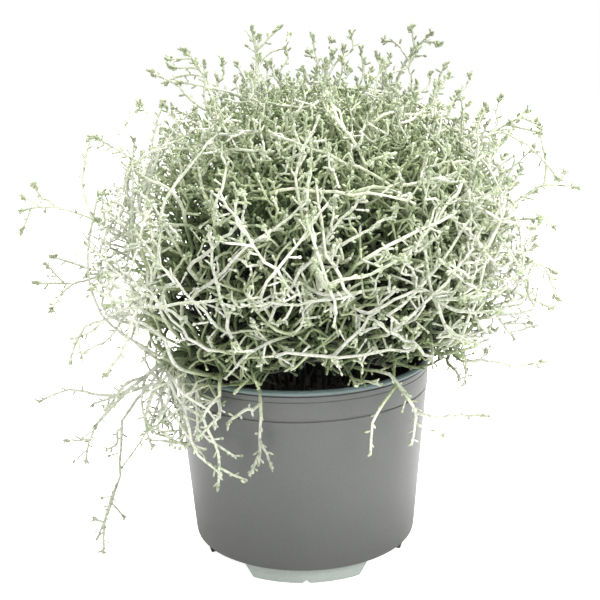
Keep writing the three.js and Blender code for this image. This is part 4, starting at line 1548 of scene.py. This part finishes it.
def attribute_node(tree, name):
    node = tree.nodes.new("ShaderNodeAttribute")
    node.attribute_name = name
    return node.outputs["Fac"]


def noise_node(tree, scale, detail):
    noise = tree.nodes.new("ShaderNodeTexNoise")
    set_inputs(noise, Scale=scale, Detail=detail, Roughness=NOISE_ROUGHNESS)
    tree.links.new(object_place(tree), noise.inputs["Vector"])
    return noise.outputs["Fac"]


def ramp_node(tree, source, stops):
    node = tree.nodes.new("ShaderNodeValToRGB")
    elements = node.color_ramp.elements
    while len(elements) < len(stops):
        elements.new(0.5)
    for element, (position, colour) in zip(elements, stops):
        element.position = position
        element.color = (*colour, 1)
    tree.links.new(source, node.inputs["Fac"])
    return node.outputs["Color"]


def range_node(tree, source, to, span=(0, 1)):
    """Maps a value from a span to a lowest and a highest value."""
    node = tree.nodes.new("ShaderNodeMapRange")
    set_inputs(node, From_Min=span[0], From_Max=span[1], To_Min=to[0], To_Max=to[1])
    tree.links.new(source, node.inputs["Value"])
    return node.outputs["Result"]


def multiply(tree, colour, by, share=1.0):
    """A colour multiplied by another, by a share that is a number or a socket."""
    node = tree.nodes.new("ShaderNodeMix")
    node.data_type = "RGBA"
    node.blend_type = "MULTIPLY"
    if isinstance(share, float):
        node.inputs["Factor"].default_value = share
    else:
        tree.links.new(share, node.inputs["Factor"])
    tree.links.new(colour, node.inputs["A"])
    tree.links.new(by, node.inputs["B"])
    return node.outputs["Result"]


def dress_shader(tree, shader, colour, roughness, grain, strength, distance):
    """Links a shader's colour and roughness, and a bump in metres from a grain."""
    bump = tree.nodes.new("ShaderNodeBump")
    set_inputs(bump, Strength=strength, Distance=distance)
    tree.links.new(grain, bump.inputs["Height"])
    tree.links.new(bump.outputs["Normal"], shader.inputs["Normal"])
    tree.links.new(colour, shader.inputs["Base Color"])
    tree.links.new(roughness, shader.inputs["Roughness"])


def foliage_material():
    """White-felted stems that pass into sage green leaves and buds, with painted shade inside the bush."""
    material, tree, shader = new_material("felted_foliage")
    felt = noise_node(tree, *FELT_GRAIN)
    patches = ramp_node(tree, noise_node(tree, *PATCH_GRAIN), PATCH_COLOURS)
    colour = ramp_node(tree, attribute_node(tree, "green"), LEAF_COLOURS)
    colour = multiply(tree, colour, range_node(tree, attribute_node(tree, "tone"), LEAF_TONES))
    colour = multiply(tree, colour, patches, PATCH_SHARE)
    colour = multiply(tree, colour, ramp_node(tree, felt, FELT_COLOURS), FELT_SHARE)
    # Painted shade: darkens the foliage deep inside the dome
    colour = multiply(tree, colour, ramp_node(tree, attribute_node(tree, "painted_shade"), PAINTED_SHADE_COLOURS))
    dress_shader(tree, shader, colour, range_node(tree, felt, FELT_ROUGHNESS), felt, 0.5, 0.0002)
    set_inputs(shader, Specular_IOR_Level=0.2, Sheen_Weight=0.15, Sheen_Roughness=0.6)
    return material


def pot_material():
    """Satin grey plastic, faintly speckled, with a painted teal highlight on the lip and painted light on
    the front and back feet.
    """
    material, tree, shader = new_material("moulded_grey_plastic")
    speck = noise_node(tree, *SPECK_GRAIN)
    cloud = noise_node(tree, *CLOUD_GRAIN)
    split = tree.nodes.new("ShaderNodeSeparateXYZ")
    tree.links.new(object_place(tree), split.inputs["Vector"])
    height = range_node(tree, split.outputs["Z"], (0, 1), (0, LIP_TOP_Z * MM))
    across = tree.nodes.new("ShaderNodeMath")
    across.operation = "ABSOLUTE"
    tree.links.new(split.outputs["Y"], across.inputs[0])
    # Painted light on the front and back feet, none on the side feet
    painted_foot_light = range_node(tree, across.outputs["Value"], (0, 1), (PAINTED_FOOT_LIGHT_FROM * MM, PAINTED_FOOT_LIGHT_FULL * MM))
    colour = ramp_node(tree, cloud, POT_COLOURS)
    colour = multiply(tree, colour, ramp_node(tree, speck, SPECK_COLOURS), SPECK_SHARE)
    # Painted highlight on the lip, teal-tinted
    colour = multiply(tree, colour, ramp_node(tree, height, LIP_HIGHLIGHT_COLOURS))
    # Painted light on the bottom of the front and back feet
    colour = multiply(tree, colour, ramp_node(tree, height, PAINTED_FOOT_LIGHT_COLOURS), painted_foot_light)
    dress_shader(tree, shader, colour, range_node(tree, cloud, POT_ROUGHNESS), speck, 0.12, 0.0002)
    set_inputs(shader, Specular_IOR_Level=0.5)
    return material


def soil_material():
    """Dark peat, in which each crumb has its own tone."""
    material, tree, shader = new_material("dark_peat_soil")
    grain = noise_node(tree, *PEAT_GRAIN)
    colour = ramp_node(tree, noise_node(tree, *CLOD_GRAIN), PEAT_COLOURS)
    colour = multiply(tree, colour, range_node(tree, attribute_node(tree, "tone"), PEAT_TONES))
    dress_shader(tree, shader, colour, range_node(tree, grain, PEAT_ROUGHNESS), grain, 0.8, 0.0008)
    return material


def floor_material():
    """A white sweep: a little of its own glow, for the camera alone, keeps it an even white."""
    material, tree, shader = new_material("pale_floor")
    colour = ramp_node(tree, noise_node(tree, *SWEEP_GRAIN), SWEEP_COLOURS)
    tree.links.new(colour, shader.inputs["Base Color"])
    rays = tree.nodes.new("ShaderNodeLightPath")
    glow = range_node(tree, rays.outputs["Is Camera Ray"], (0, SWEEP_GLOW))
    tree.links.new(glow, shader.inputs["Emission Strength"])
    set_inputs(shader, Roughness=0.9, Emission_Color=(1, 1, 1, 1))
    return material


# Camera, light and floor. Lights are (name, place and target in metres, power in watts).
LIGHTS = (
    ("key_light", (0.8, -1.1, 1.05), (0, 0, 0.14), 19),
    ("fill_light", (-1.1, -0.9, 0.6), (0, 0, 0.12), 2.5),
    ("top_light", (0.2, 0.3, 1.5), (0, 0, 0.15), 44),
)
LIGHT_SIZE = 0.8
AMBIENT = 0.79
FLOOR_HALF = 3000
FLOOR_Z = -0.4
CLIP_NEAR = 0.01
CLIP_FAR = 50


def stand(name, data, right, up, back, at):
    """An object that has its X, Y and Z axes along three directions, at a place in metres."""
    thing = link(bpy.data.objects.new(name, data))
    thing.matrix_world = Matrix((*zip(right, up, back, at), (0, 0, 0, 1)))
    return thing


def set_camera():
    pitch, roll = math.radians(CAMERA_PITCH_DEG), math.radians(CAMERA_ROLL_DEG)
    back = (0, -math.cos(pitch), math.sin(pitch))
    up = (0, math.sin(pitch), math.cos(pitch))
    right = (1, 0, 0)
    c, s = math.cos(roll), math.sin(roll)
    data = bpy.data.cameras.new("camera")
    data.sensor_width = SENSOR_MM
    data.lens = SENSOR_MM * CAMERA_FOCAL_PX / IMAGE_PX
    data.clip_start = CLIP_NEAR
    data.clip_end = CLIP_FAR
    rolled_right = add(mul(right, c), mul(up, s))
    rolled_up = add(mul(right, -s), mul(up, c))
    at = mul((CAMERA_SHIFT_X, -CAMERA_DISTANCE, CAMERA_HEIGHT), MM)
    bpy.context.scene.camera = stand("camera", data, rolled_right, rolled_up, back, at)


def add_light(name, at, target, power):
    data = bpy.data.lights.new(name, "AREA")
    data.shape = "DISK"
    data.size = LIGHT_SIZE
    data.energy = power
    back = unit(sub(at, target))
    side = unit(cross((0, 0, 1), back))
    stand(name, data, side, cross(back, side), back, at)


def set_stage():
    bpy.context.scene.view_settings.view_transform = "Standard"
    world = bpy.data.worlds.new("studio")
    bpy.context.scene.world = world
    world.use_nodes = True
    tree = world.node_tree
    background = tree.nodes["Background"]
    rays = tree.nodes.new("ShaderNodeLightPath")
    strength = range_node(tree, rays.outputs["Is Camera Ray"], (AMBIENT, 1))
    tree.links.new(strength, background.inputs["Strength"])
    set_inputs(background, Color=(1, 1, 1, 1))
    for light in LIGHTS:
        add_light(*light)
    corners = [(x * FLOOR_HALF, y * FLOOR_HALF, FLOOR_Z) for x, y in ((-1, -1), (1, -1), (1, 1), (-1, 1))]
    floor = make_mesh("floor", corners, [[(0, 1, 2, 3)]], smooth=False)
    floor.data.materials.append(floor_material())


def dress(piece, material, slot, *nodes):
    piece.data.materials.clear()
    piece.data.materials.append(material)
    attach(piece, "root")
    if nodes:
        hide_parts(*nodes)


set_camera()
set_stage()
stems = grow_bush()
grow_fine(stems)
foliage = foliage_material()
chance = random_source(FINE_SEED + 1)
for stem in stems:
    dress(dress_stem(stem, chance), foliage, "foliage", stem["name"])
dress(build_pot(), pot_material(), "pot", "pot")
peat = soil_material()
dress(build_soil(), peat, "soil", "soil")
dress(build_crumbs(), peat, "soil")
